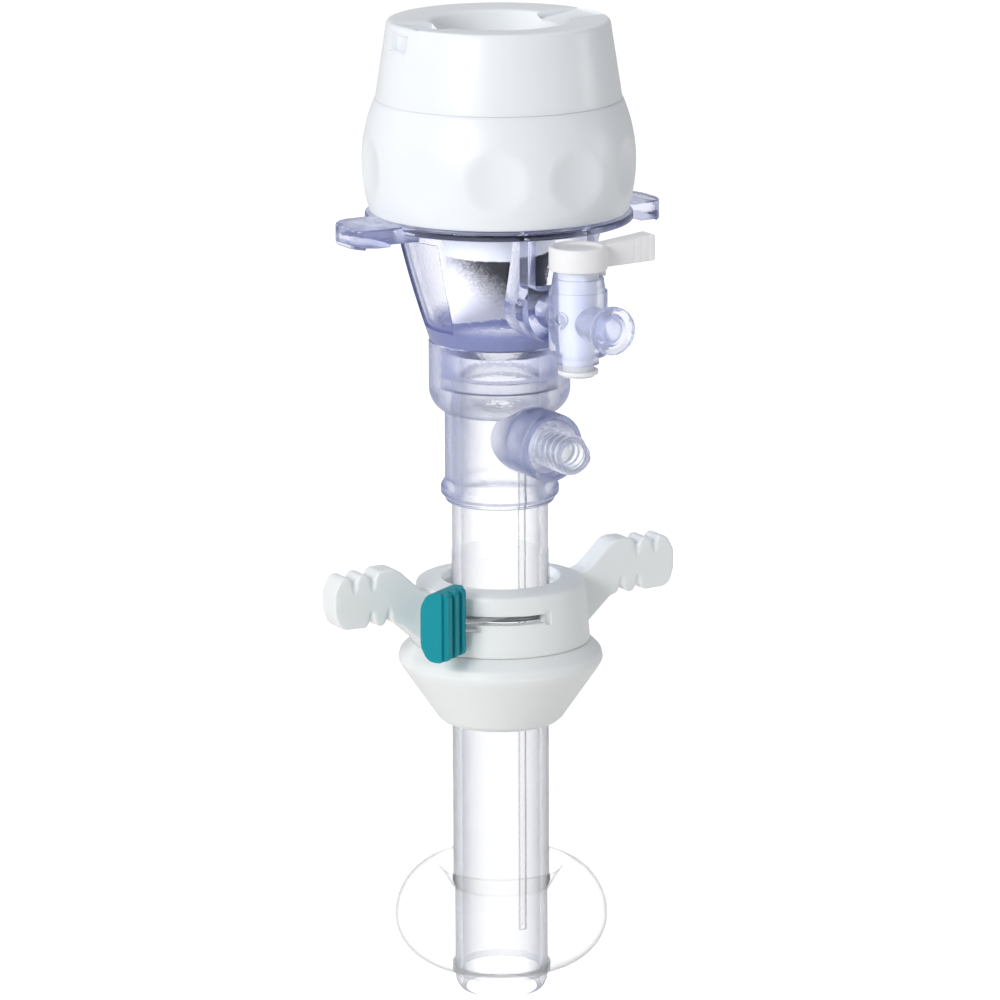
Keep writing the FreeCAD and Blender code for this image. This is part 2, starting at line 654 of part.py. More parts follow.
def make_balloon_sleeve():
    body = part_body("balloon_sleeve")
    middle_r = tube_radius
    middle_z = at.balloon_middle
    inner_round = at.balloon_round - at.film
    fold_reach = at.balloon_round - at.fold_round
    fold_r = middle_r + fold_reach * cosine(at.fold_start)
    fold_z = middle_z + fold_reach * sine(at.fold_start)
    inner_fold = at.fold_round - at.film

    def on_arch(radius, angle):
        return middle_r + radius * cosine(angle), middle_z + radius * sine(angle)

    def on_fold(radius, angle):
        return fold_r + radius * cosine(angle), fold_z + radius * sine(angle)

    def where_it_lands(radius, wall_radius):
        """Height where the film, straight from the fold, reaches the tube."""
        start_r, start_z = on_fold(radius, at.fold_end)
        slope = cosine(at.fold_end) / sine(at.fold_end)
        return start_z + (start_r - wall_radius) * slope

    glued = tube_radius + at.bond_gap
    cuff = waist_radius + at.bond_gap
    film_path = [
        (glued, at.sleeve_top),
        (glued, where_it_lands(inner_fold, glued)),
        on_fold(inner_fold, at.fold_end) + (-inner_fold,),
        on_fold(inner_fold, at.fold_start) + (-inner_round,),
        on_arch(inner_round, at.balloon_low_angle),
        (cuff + at.film, at.cuff_bottom + at.film),
        (cuff + at.film, at.cuff_bottom + at.cuff_height),
        (cuff, at.cuff_bottom + at.cuff_height),
        (cuff, at.cuff_bottom),
        on_arch(at.balloon_round, at.balloon_low_angle) + (at.balloon_round,),
        on_fold(at.fold_round, at.fold_start) + (at.fold_round,),
        on_fold(at.fold_round, at.fold_end),
        (sleeve_radius, where_it_lands(at.fold_round, sleeve_radius)),
        (sleeve_radius, at.sleeve_top),
    ]
    turned(body, outline(sketch_on(body, "XZ_Plane", "film"), film_path))


def make_tip_band():
    body = part_body("tip_band")
    inner = waist_radius + at.bond_gap + at.film + at.bond_gap
    foot = at.cuff_bottom + at.film + 2 * at.seat_gap
    top = at.cuff_bottom + at.cuff_height
    turned(body, outline(sketch_on(body, "XZ_Plane", "ring"), [
        (inner, foot),
        (inner + at.band_wall, foot),
        (inner + at.band_wall, top),
        (inner, top),
    ]))


# The hub under the funnel, with the barrel of the inflation valve on its front

def make_inflation_hub():
    body = part_body("inflation_hub")
    lip_radius = neck_radius + at.lip_rise
    shoulder_run = at.hub_radius - neck_radius
    turned(body, outline(sketch_on(body, "XZ_Plane", "wall"), [
        (hub_bore, at.hub_bottom),
        (neck_radius, at.hub_bottom, arch(at.lip_corner, at.lip_rise)),
        (lip_radius, at.hub_bottom + at.lip_corner),
        (lip_radius, at.hub_bottom + at.lip_height - at.lip_corner, arch(at.lip_corner, at.lip_rise)),
        (neck_radius, at.hub_bottom + at.lip_height),
        (neck_radius, at.neck_top, arch(at.hub_shoulder, shoulder_run)),
        (at.hub_radius, at.neck_top + at.hub_shoulder),
        (at.hub_radius, at.hub_top),
        (hub_bore, at.hub_top),
    ]))
    barrel = round_hole(sketch_on(body, "XZ_Plane", "barrel", lift=at.barrel_mouth), 0,
                        at.port_height, at.barrel_radius)
    pushed(body, barrel, at.barrel_mouth - hub_bore, back=True)
    mouth = at.barrel_mouth.value
    rounded(body, "barrel_edge", at.barrel_round,
            lambda edge: near(edge.BoundBox.YMin, -mouth) and near(edge.BoundBox.YMax, -mouth))
    cup = round_hole(sketch_on(body, "XZ_Plane", "cup", lift=at.barrel_mouth), 0,
                     at.port_height, barrel_bore)
    pushed(body, cup, at.barrel_mouth - at.barrel_floor, cuts=True)
    turned(body, outline(sketch_on(body, "XZ_Plane", "bore"), [
        (0, at.hub_bottom - at.seat_gap),
        (hub_bore, at.hub_bottom - at.seat_gap),
        (hub_bore, socket_floor),
        (socket_radius, socket_floor),
        (socket_radius, at.hub_top + at.seat_gap),
        (0, at.hub_top + at.seat_gap),
    ]), cuts=True)
    air = round_hole(sketch_on(body, "XZ_Plane", "air", lift=at.barrel_floor), 0,
                     at.port_height, at.channel_port)
    pushed(body, air, at.barrel_floor - at.lumen_radius, cuts=True)


def make_tube_gasket():
    body = part_body("tube_gasket")
    turned(body, outline(sketch_on(body, "XZ_Plane", "ring"), [
        (tube_radius + at.bond_gap, socket_floor),
        (socket_radius - at.bond_gap, socket_floor),
        (socket_radius - at.bond_gap, gasket_top - at.seat_gap),
        (tube_radius + at.bond_gap, gasket_top - at.seat_gap),
    ]))


# The check valve in that barrel: its threaded luer body, its poppet and its spring

plug_face = at.barrel_floor + at.valve_plug_length
valve_back = at.barrel_floor + at.seat_gap
throat_face = plug_face - at.seat_gap


def make_check_valve_body():
    body = part_body("check_valve_body")
    plug = barrel_bore - at.bond_gap
    wall = sketch_on(body, "YZ_Plane", "wall", shift=at.port_height)
    ridges = []
    ridge_count = 4
    for number in range(ridge_count):
        start = at.valve_mouth - at.thread_width / 2 - number * at.thread_pitch
        slope = at.thread_width / 4
        ridges += [
            (-start, at.thread_radius),
            (-(start - at.thread_width / 2), at.thread_radius),
            (-(start - at.thread_width / 2 - slope), at.valve_neck),
        ]
        if number + 1 < ridge_count:
            ridges.append((-(start - at.thread_pitch + slope), at.valve_neck))
    turned(body, outline(wall, [
        (-valve_back, at.valve_chamber),
        (-throat_face, at.valve_chamber),
        (-throat_face, at.valve_throat),
        (-(at.valve_mouth - at.luer_depth), at.valve_throat),
        (-(at.valve_mouth - at.luer_depth), at.luer_floor),
        (-at.valve_mouth, at.luer_mouth),
        (-at.valve_mouth, at.valve_neck),
    ] + ridges + [
        (-(plug_face + at.edge_round), at.valve_neck),
        (-(plug_face + at.edge_round), plug),
        (-valve_back, plug),
    ]), axis="H_Axis")


def make_poppet():
    body = part_body("check_valve_poppet")
    face = throat_face - at.seat_gap
    back = face - at.poppet_thick
    tip = at.valve_mouth - at.poppet_tip_gap
    chamfer = at.poppet_stem / 4
    turned(body, outline(sketch_on(body, "YZ_Plane", "side", shift=at.port_height), [
        (-back, 0),
        (-tip, 0),
        (-tip, at.poppet_stem - chamfer),
        (-(tip - chamfer), at.poppet_stem),
        (-face, at.poppet_stem),
        (-face, at.poppet_head),
        (-back, at.poppet_head),
    ]), axis="H_Axis")


def make_poppet_spring():
    """The spring between the barrel's floor and the poppet's head."""
    back = throat_face.value - at.seat_gap.value - at.poppet_thick.value
    floor = at.barrel_floor.value
    wire = at.poppet_wire.value
    turns = at.poppet_turns.value
    room = back - floor - wire - 2 * at.seat_gap.value
    shape = coil_shape(at.poppet_coil.value, wire, room / turns, turns)
    spring = doc.addObject("Part::Feature", "poppet_spring")
    spring.Shape = shape
    start = floor + at.seat_gap.value + wire / 2
    spring.Placement = Placement(Vector(0, -start, at.port_height.value), Rotation(Vector(1, 0, 0), 90))
    finished(spring, "poppet_spring")


# The clear housing: spigot, funnel, flange with two wings, cap ring with bayonet lugs, gas boss

funnel_rise = at.funnel_shoulder - at.hub_top
funnel_run = at.funnel_radius - at.funnel_foot
funnel_arch = arch(funnel_rise, funnel_run)


def funnel_side(height, inset):
    """Radius of the funnel's outer side at a height, less an inset."""
    below = at.funnel_shoulder - height
    return at.funnel_radius - funnel_arch + root(funnel_arch * funnel_arch - below * below) - inset


stopcock_top = at.flange_bottom - at.head_gap - at.head_height - at.seat_gap
gas_height = stopcock_top - at.stopcock_rise
stopcock_foot = gas_height - at.stopcock_drop
tail_bottom = gas_height - at.tail_drop


def make_cannula_housing():
    body = part_body("cannula_housing")
    seat_radius = at.collar_bore
    turned(body, outline(sketch_on(body, "XZ_Plane", "wall"), [
        (throat_radius, gasket_top),
        (spigot_outer, gasket_top),
        (spigot_outer, at.hub_top + at.seat_gap),
        (funnel_side(at.hub_top + at.seat_gap, 0), at.hub_top + at.seat_gap, funnel_arch),
        (at.funnel_radius, at.funnel_shoulder),
        (at.funnel_radius, at.flange_bottom),
        (at.flange_radius, at.flange_bottom),
        (at.flange_radius, flange_top),
        (collar_outer, flange_top),
        (collar_outer, collar_top),
        (throat_radius, collar_top),
    ]))
    low = flange_top - at.wing_thick
    inner_end = at.wing_reach - at.wing_step_inner
    outer_end = at.wing_reach - at.wing_step_outer
    wing = outline(sketch_on(body, "XZ_Plane", "wing"), [
        (at.wing_root, low + 2 * at.wing_step),
        (inner_end, low + 2 * at.wing_step),
        (inner_end, low + at.wing_step),
        (outer_end, low + at.wing_step),
        (outer_end, low),
        (at.wing_reach, low),
        (at.wing_reach, flange_top),
        (at.wing_root, flange_top),
    ])
    repeated(body, pushed(body, wing, 2 * at.wing_half, both=True), 2)
    reach = at.wing_reach.value
    half = at.wing_half.value

    def wing_corner(edge):
        box = edge.BoundBox
        upright = near(box.XLength, 0) and near(box.YLength, 0)
        return upright and near(abs(box.XMin), reach) and near(abs(box.YMin), half)

    rounded(body, "wing_corners", at.wing_corner, wing_corner)
    top = flange_top.value

    def wing_rim(edge):
        box = edge.BoundBox
        level = near(box.ZLength, 0)
        end = max(abs(box.XMin), abs(box.XMax)) > reach - at.wing_corner.value / 2
        return level and end and (near(box.ZMin, top) or near(box.ZMin, low.value))

    rounded(body, "wing_edges", at.edge_round, wing_rim)
    boss = outline(sketch_on(body, "XZ_Plane", "boss", lift=at.boss_face), [
        (at.boss_radius, at.flange_bottom + at.seat_gap),
        (-at.boss_radius, at.flange_bottom + at.seat_gap),
        (-at.boss_radius, gas_height, root(at.boss_radius * at.boss_radius)),
        (0, gas_height - at.boss_radius, root(at.boss_radius * at.boss_radius)),
        (at.boss_radius, gas_height),
    ])
    pushed(body, boss, at.boss_face - at.funnel_foot + at.funnel_wall, back=True)
    inner = at.boss_radius - at.rib_wall
    deck = outline(sketch_on(body, "XZ_Plane", "deck", lift=at.boss_face), [
        (-inner, gas_height + at.boss_deck),
        (inner, gas_height + at.boss_deck),
        (inner, at.flange_bottom),
        (-inner, at.flange_bottom),
    ])
    pushed(body, deck, at.boss_face - at.funnel_radius, cuts=True)
    panel = outline(sketch_on(body, "XZ_Plane", "panel"), [
        (funnel_side(at.panel_foot, at.panel_depth), at.panel_foot, funnel_arch),
        (at.funnel_radius - at.panel_depth, at.funnel_shoulder),
        (at.funnel_radius - at.panel_depth, at.panel_head),
        (at.funnel_radius + at.panel_depth, at.panel_head),
        (at.funnel_radius + at.panel_depth, at.panel_foot),
    ])
    repeated(body, turned(body, panel, cuts=True, angle=at.panel_angle), 2)
    lug = outline(sketch_on(body, "XZ_Plane", "lug"), [
        (collar_outer - at.seat_gap, flange_top + at.lock_lift),
        (collar_outer + at.lock_reach, flange_top + at.lock_lift),
        (collar_outer + at.lock_reach, flange_top + at.lock_lift + at.lock_thick),
        (collar_outer - at.seat_gap, flange_top + at.lock_lift + at.lock_thick),
    ])
    repeated(body, turned(body, lug, angle=at.lock_angle), at.lock_count)
    throat_run = funnel_side(at.panel_foot, at.funnel_wall)
    turned(body, outline(sketch_on(body, "XZ_Plane", "hollow"), [
        (0, gasket_top - at.seat_gap),
        (throat_radius, gasket_top - at.seat_gap),
        (throat_radius, at.funnel_throat),
        (throat_run, at.panel_foot, funnel_arch),
        (at.funnel_radius - at.funnel_wall, at.funnel_shoulder),
        (at.funnel_radius - at.funnel_wall, valve_seat),
        (seat_radius, valve_seat),
        (seat_radius, collar_top + at.seat_gap),
        (0, collar_top + at.seat_gap),
    ]), cuts=True)
    socket = round_hole(sketch_on(body, "XZ_Plane", "socket", lift=at.boss_face), 0,
                        gas_height, at.spigot_radius + at.bond_gap)
    pushed(body, socket, at.spigot_depth, cuts=True)
    gas = round_hole(sketch_on(body, "XZ_Plane", "gas", lift=at.boss_face), 0,
                     gas_height, at.gas_bore)
    pushed(body, gas, at.boss_face - throat_radius, cuts=True)


# The duckbill that shuts the trocar when it is empty, and the white ring that holds it

def make_duckbill():
    rim_radius = at.collar_bore - at.bond_gap
    outer = at.duckbill_bore + at.duckbill_wall
    foot = at.duckbill_sleeve_foot
    rim = solid("Part::Cylinder", "duckbill_rim_disc",
                {"Radius": rim_radius, "Height": at.duckbill_rim}, (0, 0, valve_seat))
    sleeve = solid("Part::Cylinder", "duckbill_sleeve",
                   {"Radius": outer, "Height": valve_seat + at.duckbill_rim - foot}, (0, 0, foot))
    bore = solid("Part::Cylinder", "duckbill_inside",
                 {"Radius": at.duckbill_bore, "Height": valve_seat + at.duckbill_rim - foot + 1},
                 (0, 0, foot))

    def closing(name, round_radius, lip_half, lip_gap, low):
        ring = solid("Part::Circle", name + "_ring", {"Radius": round_radius}, (0, 0, foot))
        slot = solid("Part::Ellipse", name + "_slot",
                     {"MajorRadius": lip_half, "MinorRadius": lip_gap}, (0, 0, low))
        loft = doc.addObject("Part::Loft", name)
        loft.Sections = [ring, slot]
        loft.Solid = True
        loft.Ruled = True
        return loft

    skin = closing("duckbill_outside_lips", outer, at.duckbill_lip_half,
                   at.duckbill_slit + at.duckbill_wall, at.duckbill_lip)
    gap = closing("duckbill_inside_lips", at.duckbill_bore, at.duckbill_lip_half - at.duckbill_wall,
                  at.duckbill_slit, at.duckbill_lip)
    whole = merged("duckbill_whole", [rim, sleeve, skin])
    empty = merged("duckbill_empty", [bore, gap])
    finished(carved("duckbill_cut", whole, empty), "duckbill_valve")


def make_duckbill_retainer():
    body = part_body("duckbill_retainer")
    skirt = at.duckbill_bore - at.bond_gap
    low = valve_seat + at.duckbill_rim
    turned(body, outline(sketch_on(body, "XZ_Plane", "ring"), [
        (skirt - at.retainer_wall, at.retainer_foot + at.duckbill_wall),
        (skirt, at.retainer_foot + at.duckbill_wall),
        (skirt, low),
        (at.collar_bore - at.bond_gap, low),
        (at.collar_bore - at.bond_gap, low + at.retainer_rim),
        (skirt - at.retainer_wall, low + at.retainer_rim),
    ]))


# The gas valve: a clear body with its luer, and the pale lever with its tapered plug

def plug_radius(height, gap):
    """Radius of the tapered plug at a height, plus a gap."""
    top = stopcock_top - at.stopcock_rim
    share = (height - tail_bottom) / (top - tail_bottom)
    return at.plug_bottom + (at.plug_top - at.plug_bottom) * share + gap


def make_stopcock_body():
    body = part_body("stopcock_body", forward=at.stopcock_offset)
    ledge = stopcock_top - at.stopcock_rim
    rim_inside = at.stopcock_radius - at.rim_ledge
    turned(body, outline(sketch_on(body, "XZ_Plane", "wall"), [
        (plug_radius(tail_bottom, at.plug_gap), tail_bottom),
        (at.tail_radius, tail_bottom),
        (at.tail_radius, stopcock_foot - at.edge_round),
        (at.stopcock_radius - at.edge_round, stopcock_foot - at.edge_round, at.edge_round * 1.2),
        (at.stopcock_radius, stopcock_foot),
        (at.stopcock_radius, stopcock_top),
        (rim_inside, stopcock_top),
        (rim_inside, ledge),
        (plug_radius(ledge, at.plug_gap), ledge),
    ]))
    middle = at.stop_start + at.stop_sweep / 2
    turned(body, outline(sketch_on(body, "XZ_Plane", "window", turn=middle), [
        (rim_inside - at.seat_gap, ledge),
        (at.stopcock_radius + at.edge_round, ledge),
        (at.stopcock_radius + at.edge_round, stopcock_top + at.seat_gap),
        (rim_inside - at.seat_gap, stopcock_top + at.seat_gap),
    ]), cuts=True, angle=at.stop_sweep)
    inside = plug_radius(gas_height, at.plug_gap) + at.rim_ledge / 2
    end = at.luer_reach
    floor = end - at.luer_depth
    turned(body, outline(sketch_on(body, "YZ_Plane", "luer", shift=gas_height), [
        (-inside, 0),
        (-inside, at.luer_outer),
        (-(end - 2 * at.luer_rim_thick), at.luer_outer),
        (-(end - at.luer_rim_thick), at.luer_rim),
        (-(end - at.luer_rim_thick / 4), at.luer_rim),
        (-end, at.luer_rim - at.luer_rim_thick / 4),
        (-end, 0),
    ]), axis="H_Axis")
    turned(body, outline(sketch_on(body, "YZ_Plane", "spigot", shift=gas_height), [
        (inside, 0),
        (inside, at.spigot_radius),
        (at.stopcock_offset - at.boss_face + at.spigot_depth - at.seat_gap, at.spigot_radius),
        (at.stopcock_offset - at.boss_face + at.spigot_depth - at.seat_gap, 0),
    ]), axis="H_Axis")
    turned(body, outline(sketch_on(body, "YZ_Plane", "gas_way", shift=gas_height), [
        (-end - at.seat_gap, 0),
        (-end - at.seat_gap, at.luer_mouth),
        (-end, at.luer_mouth),
        (-floor, at.luer_floor),
        (-floor, at.gas_bore),
        (at.stopcock_offset, at.gas_bore),
        (at.stopcock_offset, 0),
    ]), cuts=True, axis="H_Axis")


def make_stopcock_lever():
    body = part_body("stopcock_lever", forward=at.stopcock_offset)
    ledge = stopcock_top - at.stopcock_rim
    low = stopcock_top + at.seat_gap
    top = low + at.head_height
    step = ledge + at.seat_gap
    neck = plug_radius(ledge, 0)
    turned(body, outline(sketch_on(body, "XZ_Plane", "plug"), [
        (0, tail_bottom - at.plug_tail),
        (plug_radius(tail_bottom, 0), tail_bottom - at.plug_tail),
        (plug_radius(tail_bottom, 0), tail_bottom),
        (neck, step),
        (neck, low),
        (at.stopcock_radius, low),
        (at.stopcock_radius, top - at.edge_round, at.edge_round),
        (at.stopcock_radius - at.edge_round, top),
        (at.stopcock_radius - at.head_rim, top),
        (at.stopcock_radius - at.head_rim - at.head_dish, top - at.head_dish),
        (0, top - at.head_dish),
    ]))
    tab = outline(sketch_on(body, "XZ_Plane", "stop_tab"), [
        (neck - at.seat_gap, step),
        (at.stopcock_radius, step),
        (at.stopcock_radius, low + at.seat_gap),
        (neck - at.seat_gap, low + at.seat_gap),
    ])
    turned(body, tab, angle=at.stop_tab_angle)
    root_of_lever = at.stopcock_radius - at.head_rim
    lever_low = low + at.lever_lift
    arm = outline(sketch_on(body, "XZ_Plane", "arm"), [
        (root_of_lever, lever_low),
        (at.lever_reach, lever_low + at.lever_tip_lift),
        (at.lever_reach, top),
        (root_of_lever, top),
    ])
    pushed(body, arm, 2 * at.lever_half, both=True)
    reach = at.lever_reach.value

    def tip_edge(edge):
        box = edge.BoundBox
        return near(box.XMin, reach) and near(box.XMax, reach) and near(box.YLength, 0)

    rounded(body, "lever_tip", at.lever_half / 2, tip_edge)
    groove_count = 3
    grip = at.lever_groove * 2
    for number in range(groove_count):
        place = at.lever_reach - at.lever_half - at.lever_groove * 4 * (number + 1)
        for side in (1, -1):
            groove = round_hole(sketch_on(body, "XY_Plane", "grip_%d_%d" % (number, side), lift=top),
                                place, side * (at.lever_half + grip - at.lever_groove), grip)
            pushed(body, groove, at.head_height, cuts=True)
    cross = round_hole(sketch_on(body, "YZ_Plane", "cross_bore", lift=-at.stopcock_radius), 0,
                       gas_height, at.gas_bore)
    pushed(body, cross, 2 * at.stopcock_radius, cuts=True, back=True)


def make_plug_clip():
    body = part_body("plug_clip", forward=at.stopcock_offset)
    inner = plug_radius(tail_bottom, at.bond_gap)
    top = tail_bottom - at.seat_gap
    turned(body, outline(sketch_on(body, "XZ_Plane", "ring"), [
        (inner, top - at.clip_thick),
        (inner + at.clip_width, top - at.clip_thick),
        (inner + at.clip_width, top),
        (inner, top),
    ]))


# The seal cap: lower shell with scallops and bayonet, upper shell with the entry, sealing ring

def ball_side(height, radius):
    """Radius of the floating seal's ball, or of its seat, at a height."""
    off = height - at.ball_height
    return root(radius * radius - off * off)


seat_ball = at.ball_radius + at.run_gap
skirt_outer = at.collar_bore - at.skirt_gap
skirt_inner = skirt_outer - at.skirt_wall
shelf_low = at.cap_seam - at.shelf_thick


def make_cap_lower():
    body = part_body("cap_lower")
    foot_arch = arch(at.cap_belly - cap_foot, at.cap_belly_radius - at.cap_foot_radius)
    top_arch = arch(at.cap_seam - at.cap_belly, at.cap_belly_radius - at.cap_seam_radius)
    lug_low = flange_top + at.lock_lift - at.run_gap - at.lock_thick
    turned(body, outline(sketch_on(body, "XZ_Plane", "shell"), [
        (at.cap_foot_radius - at.cap_wall, cap_foot),
        (at.cap_foot_radius, cap_foot, foot_arch),
        (at.cap_belly_radius, at.cap_belly, top_arch),
        (at.cap_seam_radius, at.cap_seam),
        (ball_side(at.cap_seam, seat_ball), at.cap_seam),
        (ball_side(shelf_low, seat_ball), shelf_low),
        (skirt_inner, shelf_low),
        (skirt_inner, at.skirt_foot),
        (skirt_outer, at.skirt_foot),
        (skirt_outer, shelf_low),
        (at.cap_seam_radius - at.cap_wall, shelf_low),
        (at.cap_belly_radius - at.cap_wall, at.cap_belly),
    ]))
    ring_bed = at.ring_wire + at.seat_gap
    turned(body, outline(sketch_on(body, "XZ_Plane", "ring_groove"), [
        (skirt_outer - at.ring_groove, at.ring_height - ring_bed),
        (skirt_outer + at.seat_gap, at.ring_height - ring_bed),
        (skirt_outer + at.seat_gap, at.ring_height + ring_bed),
        (skirt_outer - at.ring_groove, at.ring_height + ring_bed),
    ]), cuts=True)
    lug = outline(sketch_on(body, "XZ_Plane", "lug"), [
        (collar_outer + at.run_gap, lug_low),
        (at.cap_foot_radius - at.cap_wall / 2, lug_low),
        (at.cap_foot_radius - at.cap_wall / 2, lug_low + at.lock_thick),
        (collar_outer + at.run_gap, lug_low + at.lock_thick),
    ])
    repeated(body, turned(body, lug, angle=at.lock_angle), at.lock_count)
    ball = body.newObject("PartDesign::SubtractiveEllipsoid", "scallop")
    away = at.cap_belly_radius - at.scallop_depth + at.scallop_deep
    ball.setExpression("Radius1", at.scallop_tall.text)
    ball.setExpression("Radius2", at.scallop_deep.text)
    ball.setExpression("Radius3", at.scallop_wide.text)
    ball.Placement = Placement(Vector(), Rotation(Vector(0, 0, 1), at.scallop_start.value))
    ball.setExpression("Placement.Rotation.Angle", at.scallop_start.text)
    ball.setExpression("Placement.Base.x", (away * cosine(at.scallop_start)).text)
    ball.setExpression("Placement.Base.y", (away * sine(at.scallop_start)).text)
    ball.setExpression("Placement.Base.z", at.scallop_height.text)
    doc.recompute()
    repeated(body, ball, at.scallop_count)


def make_cap_cover():
    body = part_body("cap_cover")
    foot = at.cap_seam + at.cover_seam_gap
    foot_radius = at.cap_seam_radius - at.cover_step
    top = at.cover_top
    plate_low = top - at.cover_wall
    lip_low = at.ball_height + at.ball_lip_rise
    lip_top = lip_low + at.ball_lip_thick
    lip_hole = ball_side(lip_low, seat_ball)
    entry_outer = at.entry_low_radius + at.entry_wall
    turned(body, outline(sketch_on(body, "XZ_Plane", "shell"), [
        (foot_radius, foot),
        (at.cover_top_radius, top - at.cover_round, at.cover_round * 1.05),
        (at.cover_top_radius - at.cover_round, top),
        (at.entry_radius + at.entry_round, top - at.cover_dip, at.entry_round * 1.3),
        (at.entry_radius, top - at.cover_dip - at.entry_round),
        (at.entry_low_radius, at.entry_low),
        (entry_outer, at.entry_low),
        (at.entry_radius + at.entry_wall, plate_low),
        (seat_ball, plate_low),
        (seat_ball, lip_top),
        (lip_hole, lip_top),
        (lip_hole, lip_low),
        (seat_ball, lip_low),
        (seat_ball, foot),
        (seat_ball + at.ball_skirt_wall, foot),
        (seat_ball + at.ball_skirt_wall, plate_low),
        (at.cover_top_radius - at.cover_wall, plate_low),
        (foot_radius - at.cover_wall, foot),
    ]))
    window_inner = at.cover_top_radius - at.cover_wall - at.edge_round
    window_outer = foot_radius + at.edge_round
    window = outline_pair(sketch_on(body, "XZ_Plane", "window"), [
        (window_inner, at.window_top - at.window_height),
        (window_outer, at.window_top - at.window_height),
        (window_outer, at.window_top),
        (window_inner, at.window_top),
    ])
    pushed(body, window, at.window_width, cuts=True, both=True)
    recess = outline_pair(sketch_on(body, "XZ_Plane", "recess"), [
        (at.entry_radius - at.entry_round, top - at.recess_inner_depth),
        (at.cover_top_radius - at.cover_round, top - at.recess_outer_depth),
        (at.cover_top_radius - at.cover_round, top + at.cover_dip),
        (at.entry_radius - at.entry_round, top + at.cover_dip),
    ])
    pushed(body, recess, 2 * at.recess_half, cuts=True, both=True)


def make_cap_ring():
    centre = skirt_outer - at.ring_groove + at.ring_wire + at.seat_gap
    ring = solid("Part::Torus", "cap_ring_torus",
                 {"Radius1": centre, "Radius2": at.ring_wire}, (0, 0, at.ring_height))
    finished(ring, "cap_ring")


# The floating instrument seal: a ball that tilts in the cap, its lip seal and clamp ring

def make_seal_carrier():
    body = part_body("seal_carrier")

    def on_ball(angle):
        return at.ball_radius * cosine(angle), at.ball_height + at.ball_radius * sine(angle)

    low_r, low_z = on_ball(at.ball_down_angle)
    high_r, high_z = on_ball(at.ball_up_angle)
    bore = at.lumen_radius + at.entry_gap
    turned(body, outline(sketch_on(body, "XZ_Plane", "ball"), [
        (low_r, low_z, at.ball_radius),
        (high_r, high_z),
        (high_r - at.bowl_rim, high_z),
        (bore + at.entry_gap, at.bowl_floor),
        (bore, at.bowl_floor - at.entry_gap),
        (bore, at.entry_bore_foot),
        (at.seal_pocket, at.entry_bore_foot),
        (at.seal_pocket, low_z),
    ]))


def make_instrument_seal():
    body = part_body("instrument_seal")
    outer = at.seal_pocket - at.bond_gap
    top = at.entry_bore_foot - at.seat_gap
    low = top - at.seal_rim
    hinge = at.lumen_radius
    turned(body, outline(sketch_on(body, "XZ_Plane", "lip"), [
        (at.seal_hole, low - at.seal_drop + at.seal_lip),
        (at.seal_hole, low - at.seal_drop),
        (hinge, low),
        (outer, low),
        (outer, top),
        (hinge, top),
    ]))


def make_seal_clamp():
    body = part_body("seal_clamp")
    outer = at.seal_pocket - at.bond_gap
    top = at.entry_bore_foot - 2 * at.seat_gap - at.seal_rim
    turned(body, outline(sketch_on(body, "XZ_Plane", "ring"), [
        (outer - at.clamp_width, top - at.clamp_rim),
        (outer, top - at.clamp_rim),
        (outer, top),
        (outer - at.clamp_width, top),
    ]))


# The sliding anchor: cone seal, ring with two wings, and the spring clamp with its thumb pad

ring_bore = at.anchor_radius - at.anchor_wall


def make_cone_seal():
    body = part_body("cone_seal", height=at.anchor_height)
    bore = sleeve_radius + at.cone_gap
    stem = ring_bore - at.cone_stem_gap
    rise = at.cone_stem_rise
    drop = at.cone_drop
    foot = -at.cone_height
    band = foot + at.cone_foot_band
    run = at.cone_radius - at.cone_shoulder
    inner = at.cone_wall
    turned(body, outline(sketch_on(body, "XZ_Plane", "section"), [
        (bore, foot),
        (at.cone_foot_radius, foot),
        (at.cone_foot_radius + at.edge_round, band),
        (at.cone_radius - at.edge_round, -drop - 2 * at.edge_round, 3 * at.edge_round),
        (at.cone_radius, -drop, arch(drop, run)),
        (at.cone_shoulder, 0),
        (stem, 0),
        (stem, rise),
        (stem - at.cone_stem_wall, rise),
        (stem - at.cone_stem_wall, -drop),
        (bore + inner, band + at.cone_grip),
        (bore, band + at.cone_grip),
    ]))


